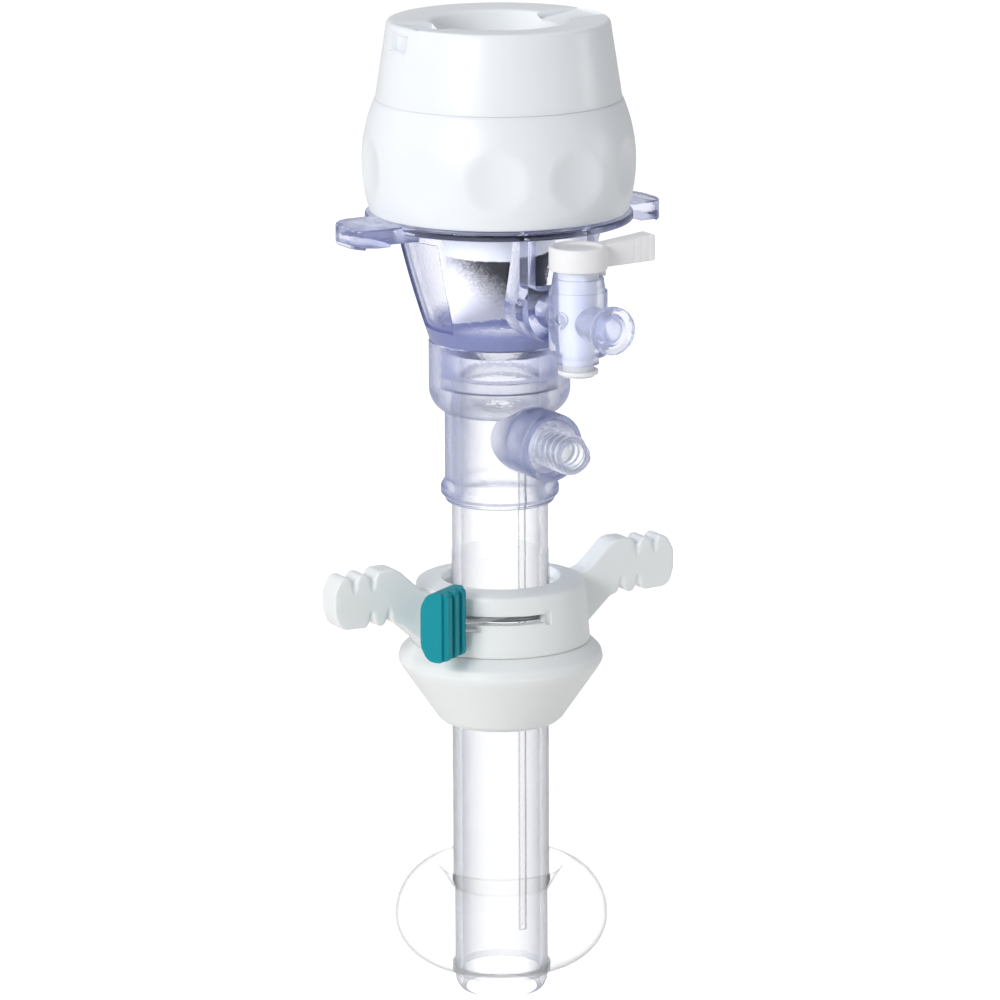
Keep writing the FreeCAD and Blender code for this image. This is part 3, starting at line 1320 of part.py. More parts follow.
def make_anchor_ring():
    body = part_body("anchor_ring", height=at.anchor_height)
    hole = sleeve_radius + at.anchor_hole_gap
    low = at.groove_gap
    top = at.anchor_rise
    turned(body, outline(sketch_on(body, "XZ_Plane", "section"), [
        (ring_bore, low),
        (at.anchor_radius, low),
        (at.anchor_radius - at.edge_round, at.slot_low),
        (at.anchor_top_radius, top - at.anchor_crown - at.edge_round, at.edge_round * 1.1),
        (at.anchor_top_radius - at.edge_round, top - at.anchor_crown),
        (hole, top),
        (hole, top - at.anchor_lip),
        (ring_bore, top - at.anchor_lip),
    ]))

    def notch(place, edge, way):
        """Three corners of a thread notch in an edge; way is 1 on the top and -1 underneath."""
        half = at.notch_width / 2
        return [
            (place + way * half, edge),
            (place, edge - way * at.notch_depth),
            (place - way * half, edge),
        ]

    corner = at.fin_corner
    shoulder = at.fin_reach - at.fin_plate
    top_outer = at.fin_reach - at.notch_outer
    top_inner = at.fin_reach - at.notch_inner
    low_outer = at.fin_reach - at.under_notch_outer
    low_inner = at.fin_reach - at.under_notch_inner
    fin = outline(sketch_on(body, "XZ_Plane", "fin"), [
        (at.fin_root, at.fin_web_low),
        (at.anchor_radius, at.fin_web_low),
        (shoulder, at.fin_low),
    ] + notch(low_inner, at.fin_low, -1) + notch(low_outer, at.fin_low, -1) + [
        (at.fin_reach - corner, at.fin_low, corner * 1.0001),
        (at.fin_reach, at.fin_low + corner),
        (at.fin_reach, at.fin_top - corner, corner * 1.0001),
        (at.fin_reach - corner, at.fin_top),
    ] + notch(top_outer, at.fin_top, 1) + notch(top_inner, at.fin_top, 1) + [
        (shoulder, at.fin_top),
        (at.anchor_radius, at.fin_web_top),
        (at.fin_root, at.fin_web_top),
    ])
    fin_pad = pushed(body, fin, 2 * at.fin_half, both=True)
    repeated(body, fin_pad, 2)
    away = at.fin_half + at.flute_radius - at.flute_depth
    flutes = (
        (top_outer, at.fin_top, False),
        (top_inner, at.fin_top, False),
        (low_outer, at.fin_low, True),
        (low_inner, at.fin_low, True),
    )
    for number, (place, edge, upward) in enumerate(flutes):
        for side in (1, -1):
            name = "flute_%d_%s" % (number, "back" if side > 0 else "front")
            groove = round_hole(sketch_on(body, "XY_Plane", name, lift=edge),
                                place, side * away, at.flute_radius)
            cut = pushed(body, groove, at.flute_length, cuts=True, back=upward)
            repeated(body, cut, 2)
    middle = at.slot_start + at.slot_sweep / 2
    turned(body, outline(sketch_on(body, "XZ_Plane", "slot", turn=middle), [
        (ring_bore - at.seat_gap, at.slot_low),
        (at.anchor_radius + at.edge_round, at.slot_low),
        (at.anchor_radius + at.edge_round, at.slot_low + at.slot_height),
        (ring_bore - at.seat_gap, at.slot_low + at.slot_height),
    ]), cuts=True, angle=at.slot_sweep)


def around(distance, angle, height):
    """A point at a distance and an angle round the axis."""
    turn = math.radians(angle)
    return Vector(distance * math.cos(turn), distance * math.sin(turn), height)


def spring_leg():
    """The points of the leg: out of the coil, round the knee, to its end and back underneath."""
    level = at.slot_low.value + at.slot_height.value / 2
    exit_turn = at.leg_angle.value + math.degrees(math.acos(at.coil_radius.value / at.leg_exit.value))
    start = around(at.coil_radius.value, exit_turn, level)
    knee = around(at.leg_exit.value, at.leg_angle.value, level)
    end = around(at.leg_end.value, at.pad_angle.value, level)
    return exit_turn, start, knee, end


def make_clamp_spring():
    """Two turns of wire in the ring, and a hairpin leg out through the slot to the pad."""
    wire = at.coil_wire.value
    radius = at.coil_radius.value
    pitch = at.coil_pitch.value
    turns = at.coil_turns.value
    exit_turn, start, knee, end = spring_leg()
    coil = coil_shape(radius, wire, pitch, turns)
    coil.translate(Vector(0, 0, start.z - pitch * turns))
    coil.rotate(Vector(), Vector(0, 0, 1), exit_turn)
    out = (knee - start).normalize()
    away = (end - knee).normalize()
    first = start + out * at.bond_gap.value
    bend = at.knee_round.value
    trim = bend * math.tan(out.getAngle(away) / 2)
    before = knee - out * trim
    after = knee + away * trim
    inward = (away - out).normalize()
    middle = knee + inward * (math.hypot(bend, trim) - bend)
    fold = at.leg_drop.value / 2
    down = Vector(0, 0, -fold)
    nose = end + down + away * fold
    back = end + down * 2
    path = Part.Wire([
        Part.makeLine(first, before),
        Part.Arc(before, middle, after).toShape(),
        Part.makeLine(after, end),
        Part.Arc(end, nose, back).toShape(),
        Part.makeLine(back, after + down * 2),
    ])
    circle = Part.Circle(first, out, wire / 2)
    leg = path.makePipeShell([Part.Wire([circle.toShape()])], True, False)
    spring = doc.addObject("Part::Feature", "clamp_spring")
    spring.Shape = Part.makeCompound([coil] + leg.Solids)
    spring.Placement = Placement(Vector(0, 0, at.anchor_height.value), Rotation())
    finished(spring, "clamp_spring")


def make_thumb_pad():
    """The ribbed pad on the spring's leg, modelled along +X and turned to its place."""
    body = part_body("thumb_pad", height=at.anchor_height)
    body.Placement = Placement(Vector(), Rotation(Vector(0, 0, 1), at.pad_angle.value))
    body.setExpression("Placement.Rotation.Angle", at.pad_angle.text)
    low = at.pad_low
    high = at.pad_low + at.pad_tall
    block = outline(sketch_on(body, "XY_Plane", "block", lift=low), [
        (at.pad_inner, -at.pad_half),
        (at.pad_outer - at.pad_round, -at.pad_half, at.pad_round),
        (at.pad_outer, -at.pad_half + at.pad_round),
        (at.pad_outer, at.pad_half - at.pad_round, at.pad_round),
        (at.pad_outer - at.pad_round, at.pad_half),
        (at.pad_inner, at.pad_half),
    ])
    pushed(body, block, at.pad_tall)
    low_value = low.value
    high_value = high.value

    def level_edge(edge):
        box = edge.BoundBox
        return near(box.ZLength, 0) and (near(box.ZMin, low_value) or near(box.ZMin, high_value)) \
            and box.XMax > at.pad_inner.value + near_step

    near_step = 0.1
    rounded(body, "pad_edges", at.pad_edge, level_edge)
    rib_rows = []
    for number in range(int(at.rib_count.value)):
        start = at.pad_inner + at.rib_pitch * number + (at.rib_pitch - at.rib_width) / 2
        rib_rows.append((start, start + at.rib_width))
    for number, (start, end) in enumerate(rib_rows):
        rib = outline(sketch_on(body, "XY_Plane", "rib_%d" % number, lift=low + at.pad_edge / 2), [
            (start, at.pad_half - at.seat_gap),
            (end, at.pad_half - at.seat_gap),
            (end, at.pad_half),
            (end - at.rib_width / 4, at.pad_half + at.rib_rise),
            (start + at.rib_width / 4, at.pad_half + at.rib_rise),
            (start, at.pad_half),
        ])
        pushed(body, rib, at.pad_tall - at.pad_edge)
    return body


def make_thumb_pad_socket(pad):
    """The finished pad: the block with a socket for the hairpin leg."""
    exit_turn, start, knee, end = spring_leg()
    away = (end - knee).normalize()
    gap = at.bond_gap.value
    wide = at.coil_wire.value + 2 * gap
    fold = at.leg_drop.value
    deep = (end - knee).Length + fold / 2 + wide / 2
    tool = Part.makeBox(deep, wide, fold + wide, Vector(0, -wide / 2, -fold - wide / 2))
    tool.rotate(Vector(), Vector(0, 0, 1), math.degrees(math.atan2(away.y, away.x)))
    tool.translate(knee + Vector(0, 0, at.anchor_height.value))
    socket = doc.addObject("Part::Feature", "thumb_pad_socket")
    socket.Shape = tool
    NODES.remove(pad)
    pad.Label = "thumb_pad_block"
    finished(carved("thumb_pad_cut", pad, socket), "thumb_pad")


# Build every piece

make_cannula_tube()
make_balloon_sleeve()
make_tip_band()
make_inflation_hub()
make_tube_gasket()
make_check_valve_body()
make_poppet()
make_poppet_spring()
make_cannula_housing()
make_duckbill()
make_duckbill_retainer()
make_stopcock_body()
make_stopcock_lever()
make_plug_clip()
make_cap_lower()
make_cap_cover()
make_cap_ring()
make_seal_carrier()
make_instrument_seal()
make_seal_clamp()
make_cone_seal()
make_anchor_ring()
make_clamp_spring()
make_thumb_pad_socket(make_thumb_pad())
doc.recompute()

# Check every object, then write one file for each piece

for thing in doc.Objects:
    if "Invalid" in thing.State or "Error" in thing.State:
        raise ValueError(thing.Name + " did not compute: " + str(thing.State))
for thing in NODES:
    if thing.Shape.isNull() or not thing.Shape.isValid() or not thing.Shape.Solids:
        raise ValueError(thing.Label + " is not a valid solid")
for thing in NODES:
    thing.Shape.exportStep("parts/" + thing.Label + ".step")
    box = thing.Shape.optimalBoundingBox(False)
    print("%-20s solids %d  volume %9.2f  z %7.2f to %7.2f  radius %.2f" % (
        thing.Label, len(thing.Shape.Solids), thing.Shape.Volume, box.ZMin, box.ZMax,
        max(abs(box.XMin), abs(box.XMax), abs(box.YMin), abs(box.YMax))))
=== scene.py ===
# %% [markdown]
# # A balloon trocar for keyhole surgery
# Through this port a surgeon passes long instruments, and it holds itself in the body wall between an
# inflated balloon inside and a sliding cone outside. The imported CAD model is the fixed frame. Its solids
# could be shaded as they are, but their edges are knife sharp, so each visible piece is rebuilt as a
# finer mesh with soft edges and a procedural material, and rides on the CAD body that it belongs to.

# %% The frame
import math

import bmesh
import bpy
from mathutils import Matrix, Vector


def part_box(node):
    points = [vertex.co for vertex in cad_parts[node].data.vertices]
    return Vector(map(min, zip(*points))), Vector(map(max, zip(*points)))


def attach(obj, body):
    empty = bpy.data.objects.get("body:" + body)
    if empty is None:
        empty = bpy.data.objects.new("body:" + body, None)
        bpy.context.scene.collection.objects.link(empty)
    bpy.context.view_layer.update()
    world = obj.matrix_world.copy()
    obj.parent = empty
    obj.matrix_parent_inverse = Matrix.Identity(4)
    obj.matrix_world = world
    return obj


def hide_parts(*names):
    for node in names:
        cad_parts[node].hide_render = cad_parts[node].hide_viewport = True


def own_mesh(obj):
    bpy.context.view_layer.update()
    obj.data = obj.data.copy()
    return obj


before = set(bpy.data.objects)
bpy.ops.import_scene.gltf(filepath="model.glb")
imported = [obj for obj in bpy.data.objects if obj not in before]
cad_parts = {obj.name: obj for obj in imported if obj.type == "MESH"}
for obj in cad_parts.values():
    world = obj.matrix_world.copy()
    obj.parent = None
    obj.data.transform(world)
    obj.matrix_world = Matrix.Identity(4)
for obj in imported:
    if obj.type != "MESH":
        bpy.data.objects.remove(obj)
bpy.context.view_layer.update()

MM = 0.001
print("nodes:", sorted(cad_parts))

# %% [markdown]
# ## Sizes
# Millimetres in the CAD model's frame: the origin is on the axis at the tip's mouth, and +Z runs up to
# the cap. A size used by more than one piece has a name, so that pieces that touch stay in step.

# %% Sizes
LUMEN = 6.45
TUBE = 8.0
WAIST = 7.8
WAIST_TOP = 17.9
FILM = 0.18
GLUE = 0.02
SEAT = 0.05

FLANGE_LOW = 131.8
FLANGE_TOP = 133.1
HUB_TOP = 111.7
HUB_LOW = 84.4
SOCKET_FLOOR = 104.0
SOCKET = 9.9
PORT_Z = 96.5
GAS_Z = 119.4
GAS_BORE = 1.4
STOPCOCK_Y = -26.15
ANCHOR_Z = 60.4
CAP_SEAM = 151.8
BALL_Z = 154.0

ROUND = 160
FINE_ROUND = 288


def low_of(node):
    """The node's lowest corner in millimetres."""
    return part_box(node)[0] / MM


def high_of(node):
    """The node's highest corner in millimetres."""
    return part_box(node)[1] / MM


print("tube from %.2f to %.2f mm" % (low_of("cannula_tube").z, high_of("cannula_tube").z))

# %% [markdown]
# ## Outlines
# An outline is a closed list of points: corners can carry a radius, and two points can be joined by an
# arc. Curves could be drawn by hand, but written radii read like the dimensions on a drawing.


# %% Outlines
def rounded(corners, steps=6):
    """A closed outline from its corners; a corner's third number is the radius that rounds it."""
    points = []
    count = len(corners)
    for number, corner in enumerate(corners):
        here = Vector(corner[:2])
        if len(corner) < 3:
            points.append(tuple(here))
            continue
        back = Vector(corners[number - 1][:2]) - here
        ahead = Vector(corners[(number + 1) % count][:2]) - here
        half = back.angle(ahead) / 2
        reach = min(corner[2] / math.tan(half), 0.49 * back.length, 0.49 * ahead.length)
        radius = reach * math.tan(half)
        centre = here + (back.normalized() + ahead.normalized()).normalized() * (radius / math.sin(half))
        first = here + back.normalized() * reach - centre
        last = here + ahead.normalized() * reach - centre
        turn = first.angle_signed(last)
        for step in range(steps + 1):
            points.append(tuple(centre + turned(first, turn * step / steps)))
    return points


def turned(arrow, angle):
    """A flat vector turned by an angle, the way that angle_signed measures it."""
    c = math.cos(-angle)
    s = math.sin(-angle)
    return Vector((arrow.x * c - arrow.y * s, arrow.x * s + arrow.y * c))


def bulge(start, end, radius, steps=12):
    """Points of an arc from start to end, without the end; a positive radius bends it left."""
    here = Vector(start)
    there = Vector(end)
    chord = there - here
    half = chord.length / 2
    left = Vector((-chord.y, chord.x)).normalized()
    side = 1 if radius > 0 else -1
    centre = (here + there) / 2 + left * side * math.sqrt(radius * radius - half * half)
    first = here - centre
    turn = side * 2 * math.asin(half / abs(radius))
    points = []
    for step in range(steps):
        angle = turn * step / steps
        c = math.cos(angle)
        s = math.sin(angle)
        points.append((centre.x + first.x * c - first.y * s, centre.y + first.x * s + first.y * c))
    return points


def arc(centre, radius, start, end, steps):
    """Points of an arc about a centre, from one angle in degrees to another, both ends included."""
    points = []
    for step in range(steps + 1):
        angle = math.radians(start + (end - start) * step / steps)
        points.append((centre[0] + radius * math.cos(angle), centre[1] + radius * math.sin(angle)))
    return points


def arch(rise, run):
    """The radius of an arc that starts upright and moves in by run over a rise."""
    return (rise * rise + run * run) / (2 * run)


print("a rounded square has", len(rounded([(0, 0, 1), (9, 0, 1), (9, 9, 1), (0, 9, 1)])), "points")

# %% [markdown]
# ## Solids
# Every piece starts as an outline that is turned, as on a lathe, or pushed straight, and solids are joined
# and cut with the exact boolean. Sculpting would bend more freely, but cuts keep true sizes. A bevel
# rounds simple solids, and where many edges meet, the surface is rebuilt from small cubes and smoothed.


# %% Solids
def as_piece(name, work):
    """A mesh object from a bmesh, with its normals pointing outwards."""
    bmesh.ops.recalc_face_normals(work, faces=work.faces)
    mesh = bpy.data.meshes.new(name)
    work.to_mesh(mesh)
    work.free()
    thing = bpy.data.objects.new(name, mesh)
    bpy.context.collection.objects.link(thing)
    return thing


def spun(name, outline, rounds=ROUND, shaped=None):
    """A closed outline of radius and height, turned about Z; shaped may change a point's radius."""
    work = bmesh.new()
    line = [work.verts.new((radius * MM, 0, height * MM)) for radius, height in outline]
    for number, vert in enumerate(line):
        before = line[number - 1]
        if vert.co.x > 0 or before.co.x > 0:
            work.edges.new((before, vert))
    bmesh.ops.spin(work, geom=work.verts[:] + work.edges[:], cent=(0, 0, 0), axis=(0, 0, 1),
                   dvec=(0, 0, 0), angle=2 * math.pi, steps=rounds, use_merge=True)
    bmesh.ops.remove_doubles(work, verts=work.verts, dist=1e-7)
    if shaped:
        for vert in work.verts:
            radius = math.hypot(vert.co.x, vert.co.y)
            if radius > 0:
                reach = shaped(radius / MM, vert.co.z / MM, math.atan2(vert.co.y, vert.co.x)) * MM
                vert.co.x *= reach / radius
                vert.co.y *= reach / radius
    return as_piece(name, work)


def pushed(name, outline, low, high, plane="XY"):
    """A closed outline pushed from low to high, upright from XY or along Y from XZ."""
    work = bmesh.new()
    if plane == "XY":
        line = [work.verts.new((x * MM, y * MM, low * MM)) for x, y in outline]
        way = (0, 0, (high - low) * MM)
    else:
        line = [work.verts.new((x * MM, low * MM, z * MM)) for x, z in outline]
        way = (0, (high - low) * MM, 0)
    face = work.faces.new(line)
    grown = bmesh.ops.extrude_face_region(work, geom=[face])["geom"]
    ends = [item for item in grown if isinstance(item, bmesh.types.BMVert)]
    bmesh.ops.translate(work, verts=ends, vec=way)
    return as_piece(name, work)


def block(name, low, high):
    """A box between two opposite corners."""
    return pushed(name, [(low[0], low[1]), (high[0], low[1]), (high[0], high[1]), (low[0], high[1])],
                  low[2], high[2])


def rod(name, radius, low, high, rounds):
    """A round rod about Z, from low to high."""
    return spun(name, [(0, low), (radius, low), (radius, high), (0, high)], rounds)


def moved(thing, place=(0, 0, 0), turn=None):
    """Turn a mesh about an axis through the origin by degrees, then move it, in its own points."""
    if turn:
        thing.data.transform(Matrix.Rotation(math.radians(turn[1]), 4, turn[0]))
    thing.data.transform(Matrix.Translation(Vector(place) * MM))
    return thing


def settled(thing):
    """The mesh that the object's modifiers give, kept as its own mesh."""
    graph = bpy.context.evaluated_depsgraph_get()
    mesh = bpy.data.meshes.new_from_object(thing.evaluated_get(graph))
    thing.modifiers.clear()
    old = thing.data
    thing.data = mesh
    bpy.data.meshes.remove(old)
    return thing


def changed(base, tools, how):
    """Join the tools to the base, cut them from it or keep what is in both, one after the other."""
    for tool in tools:
        step = base.modifiers.new("boolean", "BOOLEAN")
        step.operation = how
        step.solver = "EXACT"
        step.object = tool
        settled(base)
        bpy.data.objects.remove(tool)
    return base


def joined(base, *tools):
    """The base with the tools joined to it."""
    return changed(base, tools, "UNION")


def cut(base, *tools):
    """The base with the tools cut from it."""
    return changed(base, tools, "DIFFERENCE")


def along_minus_y(thing, height):
    """A solid turned about Z, laid down so that its axis points along -Y at a height."""
    return moved(thing, (0, 0, height), ("X", 90))


def softened(thing, width, segments=3, angle=35):
    """Round the edges that are sharper than an angle."""
    bevel = thing.modifiers.new("bevel", "BEVEL")
    bevel.width = width * MM
    bevel.segments = segments
    bevel.limit_method = "ANGLE"
    bevel.angle_limit = math.radians(angle)
    bevel.use_clamp_overlap = True
    bevel.miter_outer = "MITER_ARC"
    return settled(thing)


def melted(thing, grain, rounds):
    """Rebuild the surface from small cubes and smooth it, as a moulded part with round edges has."""
    remesh = thing.modifiers.new("remesh", "REMESH")
    remesh.mode = "VOXEL"
    remesh.voxel_size = grain * MM
    smooth = thing.modifiers.new("smooth", "SMOOTH")
    smooth.factor = 0.5
    smooth.iterations = rounds
    return settled(thing)


def finished(thing, material, body, slot, *nodes, sharp=35):
    """Shade a piece, give it its material and let it ride on its body in place of CAD nodes."""
    mesh = thing.data
    mesh.materials.clear()
    mesh.materials.append(material)
    for face in mesh.polygons:
        face.material_index = 0
    mesh.shade_smooth()
    mesh.set_sharp_from_angle(angle=math.radians(sharp))
    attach(thing, body)
    if nodes:
        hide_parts(*nodes)
    print("%-22s %6d faces" % (thing.name, len(mesh.polygons)))


print("a piece is turned in %d steps, or in %d where it is large" % (ROUND, FINE_ROUND))

# %% [markdown]
# ## Shader parts
# Every material is made of the same few steps: noise on the object's own coordinates, a range, a ramp
# along an axis and a value for surfaces that turn away. Image textures could do this, but they blur
# up close, while a procedure stays sharp and needs no file.


# %% Shader parts
def fed(tree, node, values=None, links=None):
    """A node, with some of its inputs set to values and others linked to outputs."""
    for place, value in (values or {}).items():
        node.inputs[place].default_value = value
    for place, source in (links or {}).items():
        tree.links.new(source, node.inputs[place])
    return node


def added(tree, kind, values=None, links=None):
    """A new node, with inputs set or linked."""
    return fed(tree, tree.nodes.new("ShaderNode" + kind), values, links)


def shader(name, values):
    """A new material with its node tree, its output and its Principled shader."""
    material = bpy.data.materials.new(name)
    material.use_nodes = True
    tree = material.node_tree
    return material, tree, tree.nodes["Material Output"], fed(tree, tree.nodes["Principled BSDF"], values)


def object_place(tree):
    """The object's own coordinates."""
    return added(tree, "TexCoord").outputs["Object"]


def surface_noise(tree, scale, detail=3.0):
    """A value of noise over the object's own coordinates."""
    noise = added(tree, "TexNoise", {"Scale": scale, "Detail": detail}, {"Vector": object_place(tree)})
    return noise.outputs["Fac"]


def scaled(tree, source, low, high):
    """A value from 0 to 1 mapped to a range."""
    return added(tree, "MapRange", {"To Min": low, "To Max": high}, {"Value": source}).outputs["Result"]


def bumped(tree, principled, source, strength, distance):
    """A fine relief on the shader's surface, as deep as a distance in millimetres."""
    bump = added(tree, "Bump", {"Strength": strength, "Distance": distance * MM}, {"Height": source})
    fed(tree, principled, links={"Normal": bump.outputs["Normal"]})


def along(tree, axis, stops):
    """A value that follows straight lines between stops of millimetres and value on an axis."""
    parts = added(tree, "SeparateXYZ", links={0: object_place(tree)})
    low = stops[0][0]
    high = stops[-1][0]
    share = added(tree, "MapRange", {"From Min": low * MM, "From Max": high * MM},
                  {"Value": parts.outputs[axis]})
    ramp = added(tree, "ValToRGB", links={"Fac": share.outputs["Result"]})
    elements = ramp.color_ramp.elements
    while len(elements) < len(stops):
        elements.new(0.5)
    for element, (position, value) in zip(elements, stops):
        element.position = (position - low) / (high - low)
        element.color = (value, value, value, 1)
    return ramp.outputs["Color"]


def combined(tree, first, second, operation="MULTIPLY"):
    """Two values put together by a math node."""
    step = added(tree, "Math", links={0: first, 1: second})
    step.operation = operation
    return step.outputs[0]


def blended(tree, share, first, second):
    """A mix of two shaders; share is 0 for the first alone and 1 for the second alone."""
    return added(tree, "MixShader", links={"Fac": share, 1: first, 2: second}).outputs[0]


def coloured(tree, share, first, second):
    """A mix of two colours by a share."""
    mix = added(tree, "Mix")
    mix.data_type = "RGBA"
    return fed(tree, mix, {6: (*first, 1), 7: (*second, 1)}, {0: share}).outputs[2]


def facing(tree, power):
    """A value that is 0 where the surface faces the eye and 1 where it turns away."""
    edge = added(tree, "LayerWeight", {"Blend": 0.5})
    bend = added(tree, "Math", {1: power}, {0: edge.outputs["Facing"]})
    bend.operation = "POWER"
    return bend.outputs[0]


print("shader parts: noise, range, relief, ramp, math, mixes and facing")

# %% [markdown]
# ## Clear materials
# The balloon's film is so thin that it does not bend light. It could be glass, but then a ray passes
# dozens of walls in its fold and comes out black. So it is a see-through shader with a veil where it
# turns away, and a ray that has gone through clear plastic ends at the balloon as background white.


# %% The film
SEEN_WHITE = 1.12


def thin_film(name, colour, veil, rim, power, ends_rays=False):
    """A film too thin to bend light: it is seen only where the eye meets it at a low angle."""
    material, tree, output, principled = shader(name, {"Base Color": (*colour, 1), "Roughness": 0.3})
    through = added(tree, "BsdfTransparent")
    strength = combined(tree, scaled(tree, facing(tree, power), veil, rim),
                        scaled(tree, surface_noise(tree, 180, 2.0), 0.7, 1.3))
    surface = blended(tree, strength, through.outputs[0], principled.outputs[0])
    if ends_rays:
        path = added(tree, "LightPath")
        white = added(tree, "Emission", {"Strength": SEEN_WHITE})
        surface = blended(tree, path.outputs["Is Transmission Ray"], surface, white.outputs[0])
    tree.links.new(surface, output.inputs["Surface"])
    return material


film_clear = thin_film("balloon_film", (0.4, 0.41, 0.43), 0.0, 0.6, 6.0, True)
band_clear = thin_film("band_film", (0.5, 0.53, 0.56), 0.2, 0.6, 2.0)
print("films:", film_clear.name, "and", band_clear.name)

# %% [markdown]
# Clear polycarbonate bends light, takes a violet tint where it is thick and looks milky where it turns
# away. Plain glass would lose its edges before a white background, so a milky shader is mixed in by the
# angle. A shadow ray passes as through tinted film, which keeps the noise low. A ramp can thicken the
# milk in one place, as at the funnel's foot.


# %% Clear plastic
def clear_plastic(name, tint, density, haze, veil, rim, index=1.3, roughness=0.03, grain=0.0,
                  power=2.6, thicker=None):
    """Clear plastic with a soft milky veil that thickens where the surface turns away from the eye."""
    material, tree, output, principled = shader(name, {
        "Base Color": (1, 1, 1, 1), "Transmission Weight": 1.0, "IOR": index, "Roughness": roughness})
    milk = added(tree, "BsdfPrincipled", {"Base Color": (*haze, 1), "Roughness": 0.25,
                                          "Transmission Weight": 0.35})
    strength = scaled(tree, facing(tree, power), veil, rim)
    if thicker:
        strength = combined(tree, strength, along(tree, *thicker), "ADD")
    patchy = combined(tree, strength, scaled(tree, surface_noise(tree, 220, 2.0), 0.75, 1.25))
    body = blended(tree, patchy, principled.outputs[0], milk.outputs[0])
    path = added(tree, "LightPath")
    through = added(tree, "BsdfTransparent", {"Color": (*[0.75 + channel / 4 for channel in tint], 1)})
    lit = blended(tree, path.outputs["Is Shadow Ray"], body, through.outputs[0])
    depth = added(tree, "VolumeAbsorption", {"Color": (*tint, 1), "Density": density})
    fed(tree, output, links={"Surface": lit, "Volume": depth.outputs["Volume"]})
    if grain:
        bumped(tree, principled, surface_noise(tree, 1400), grain, 0.15)
    return material


FUNNEL_FOOT_BAND = ("Z", [(100, 0), (111.5, 0), (111.8, 0.95), (113.8, 0.9), (116.4, 0), (140, 0)])
BARREL_BAND = ("Y", [(-18.2, 0.05), (-13.0, 0.05), (-10.0, 0), (0, 0)])
tube_clear = clear_plastic("clear_tube", (0.7, 0.75, 0.86), 25, (0.27, 0.29, 0.37), 0.02, 0.8, 1.22,
                           power=1.6)
channel_edge = clear_plastic("channel_edge", (0.7, 0.75, 0.86), 0, (0.2, 0.21, 0.25), 0.55, 0.8, 1.22)
housing_clear = clear_plastic("clear_housing", (0.5, 0.55, 0.84), 45, (0.28, 0.32, 0.58), 0.01, 0.85, 1.3,
                              roughness=0.06, grain=0.25, power=2.2, thicker=FUNNEL_FOOT_BAND)
hub_clear = clear_plastic("clear_hub", (0.55, 0.6, 0.86), 14, (0.24, 0.28, 0.5), 0.02, 1.0, 1.25,
                          roughness=0.16, grain=0.3, power=1.45, thicker=BARREL_BAND)
valve_clear = clear_plastic("clear_valve", (0.66, 0.71, 0.9), 40, (0.62, 0.65, 0.78), 0.12, 0.85, 1.3,
                            roughness=0.08, grain=0.2, power=2.2)
stopcock_clear = clear_plastic("clear_stopcock", (0.6, 0.65, 0.88), 50, (0.45, 0.49, 0.68), 0.16, 0.9, 1.3,
                               roughness=0.1, grain=0.2, power=1.7)
print("clear plastics:", len(bpy.data.materials) - 2)

# %% [markdown]
# ## Opaque materials
# White and milky plastic has a fine grain, a slight drift of colour and an uneven gloss, and light goes
# a little way into it. One flat colour would do from afar, but it looks painted up close. The duckbill's
# rubber is pale, with painted shade that is dark at the top under the cap and pales to its lips, and
# the wire has the streaks that drawing leaves.


# %% Opaque materials
def moulded(name, colour, roughness, speck=0.03, under=0.0, level=0.5):
    """Opaque moulded plastic with fine grain, uneven gloss and a slight drift of colour."""
    material, tree, output, principled = shader(name, {
        "Subsurface Weight": under, "Subsurface Radius": (1.0, 1.0, 1.1), "Subsurface Scale": 0.0015,
        "Specular IOR Level": level})
    darker = [channel * (1 - speck) for channel in colour]
    fed(tree, principled, links={
        "Base Color": coloured(tree, surface_noise(tree, 60, 2.0), darker, colour),
        "Roughness": scaled(tree, surface_noise(tree, 400), roughness * 0.85, roughness * 1.15)})
    bumped(tree, principled, surface_noise(tree, 2500, 2.0), 0.08, 0.05)
    return material


def rubber_with_painted_shade(name):
    """Pale rubber with painted shade: dark under the cap, fading to the lips, grainy where it fades."""
    material, tree, output, principled = shader(name, {"Roughness": 0.7, "Specular IOR Level": 0.2})
    parts = added(tree, "SeparateXYZ", links={0: object_place(tree)})
    value = parts.outputs["Z"]
    for source, share in ((parts.outputs["X"], 0.7), (parts.outputs["Y"], -0.39),
                          (surface_noise(tree, 3200, 2.0), 0.006)):
        spread = added(tree, "Math", {1: share}, {0: source, 2: value})
        spread.operation = "MULTIPLY_ADD"
        value = spread.outputs[0]
    # Painted shade: darker upwards and towards the side away from the key lamp, as under the cap.
    step = added(tree, "MapRange", {"From Min": 0.1185, "From Max": 0.1275}, {"Value": value})
    step.interpolation_type = "SMOOTHSTEP"
    colour = coloured(tree, step.outputs["Result"], (0.93, 0.93, 0.95), (0.008, 0.009, 0.013))
    fed(tree, principled, links={"Base Color": colour})
    return material


def drawn_wire(name):
    """Drawn spring steel, a metal whose gloss changes in fine streaks."""
    material, tree, output, principled = shader(name, {"Base Color": (0.55, 0.56, 0.58, 1), "Metallic": 1.0})
    fed(tree, principled, links={"Roughness": scaled(tree, surface_noise(tree, 3000, 4.0), 0.2, 0.4)})
    return material


cap_white = moulded("cap_white", (0.86, 0.885, 0.915), 0.34, under=0.15)
warm_white = moulded("lever_white", (0.89, 0.88, 0.89), 0.38, under=0.2)
# Painted shade: the plug is the lever's white plastic, given a darker copy for its place inside the clear
# body.
plug_white_painted_shade = moulded("plug_white_painted_shade", (0.72, 0.74, 0.79), 0.4)
milky = moulded("anchor_milky", (0.84, 0.865, 0.865), 0.36, under=0.35)
soft_seal = moulded("soft_seal", (0.84, 0.865, 0.865), 0.45, under=0.4)
inner_seal = moulded("inner_seal", (0.62, 0.63, 0.64), 0.5)
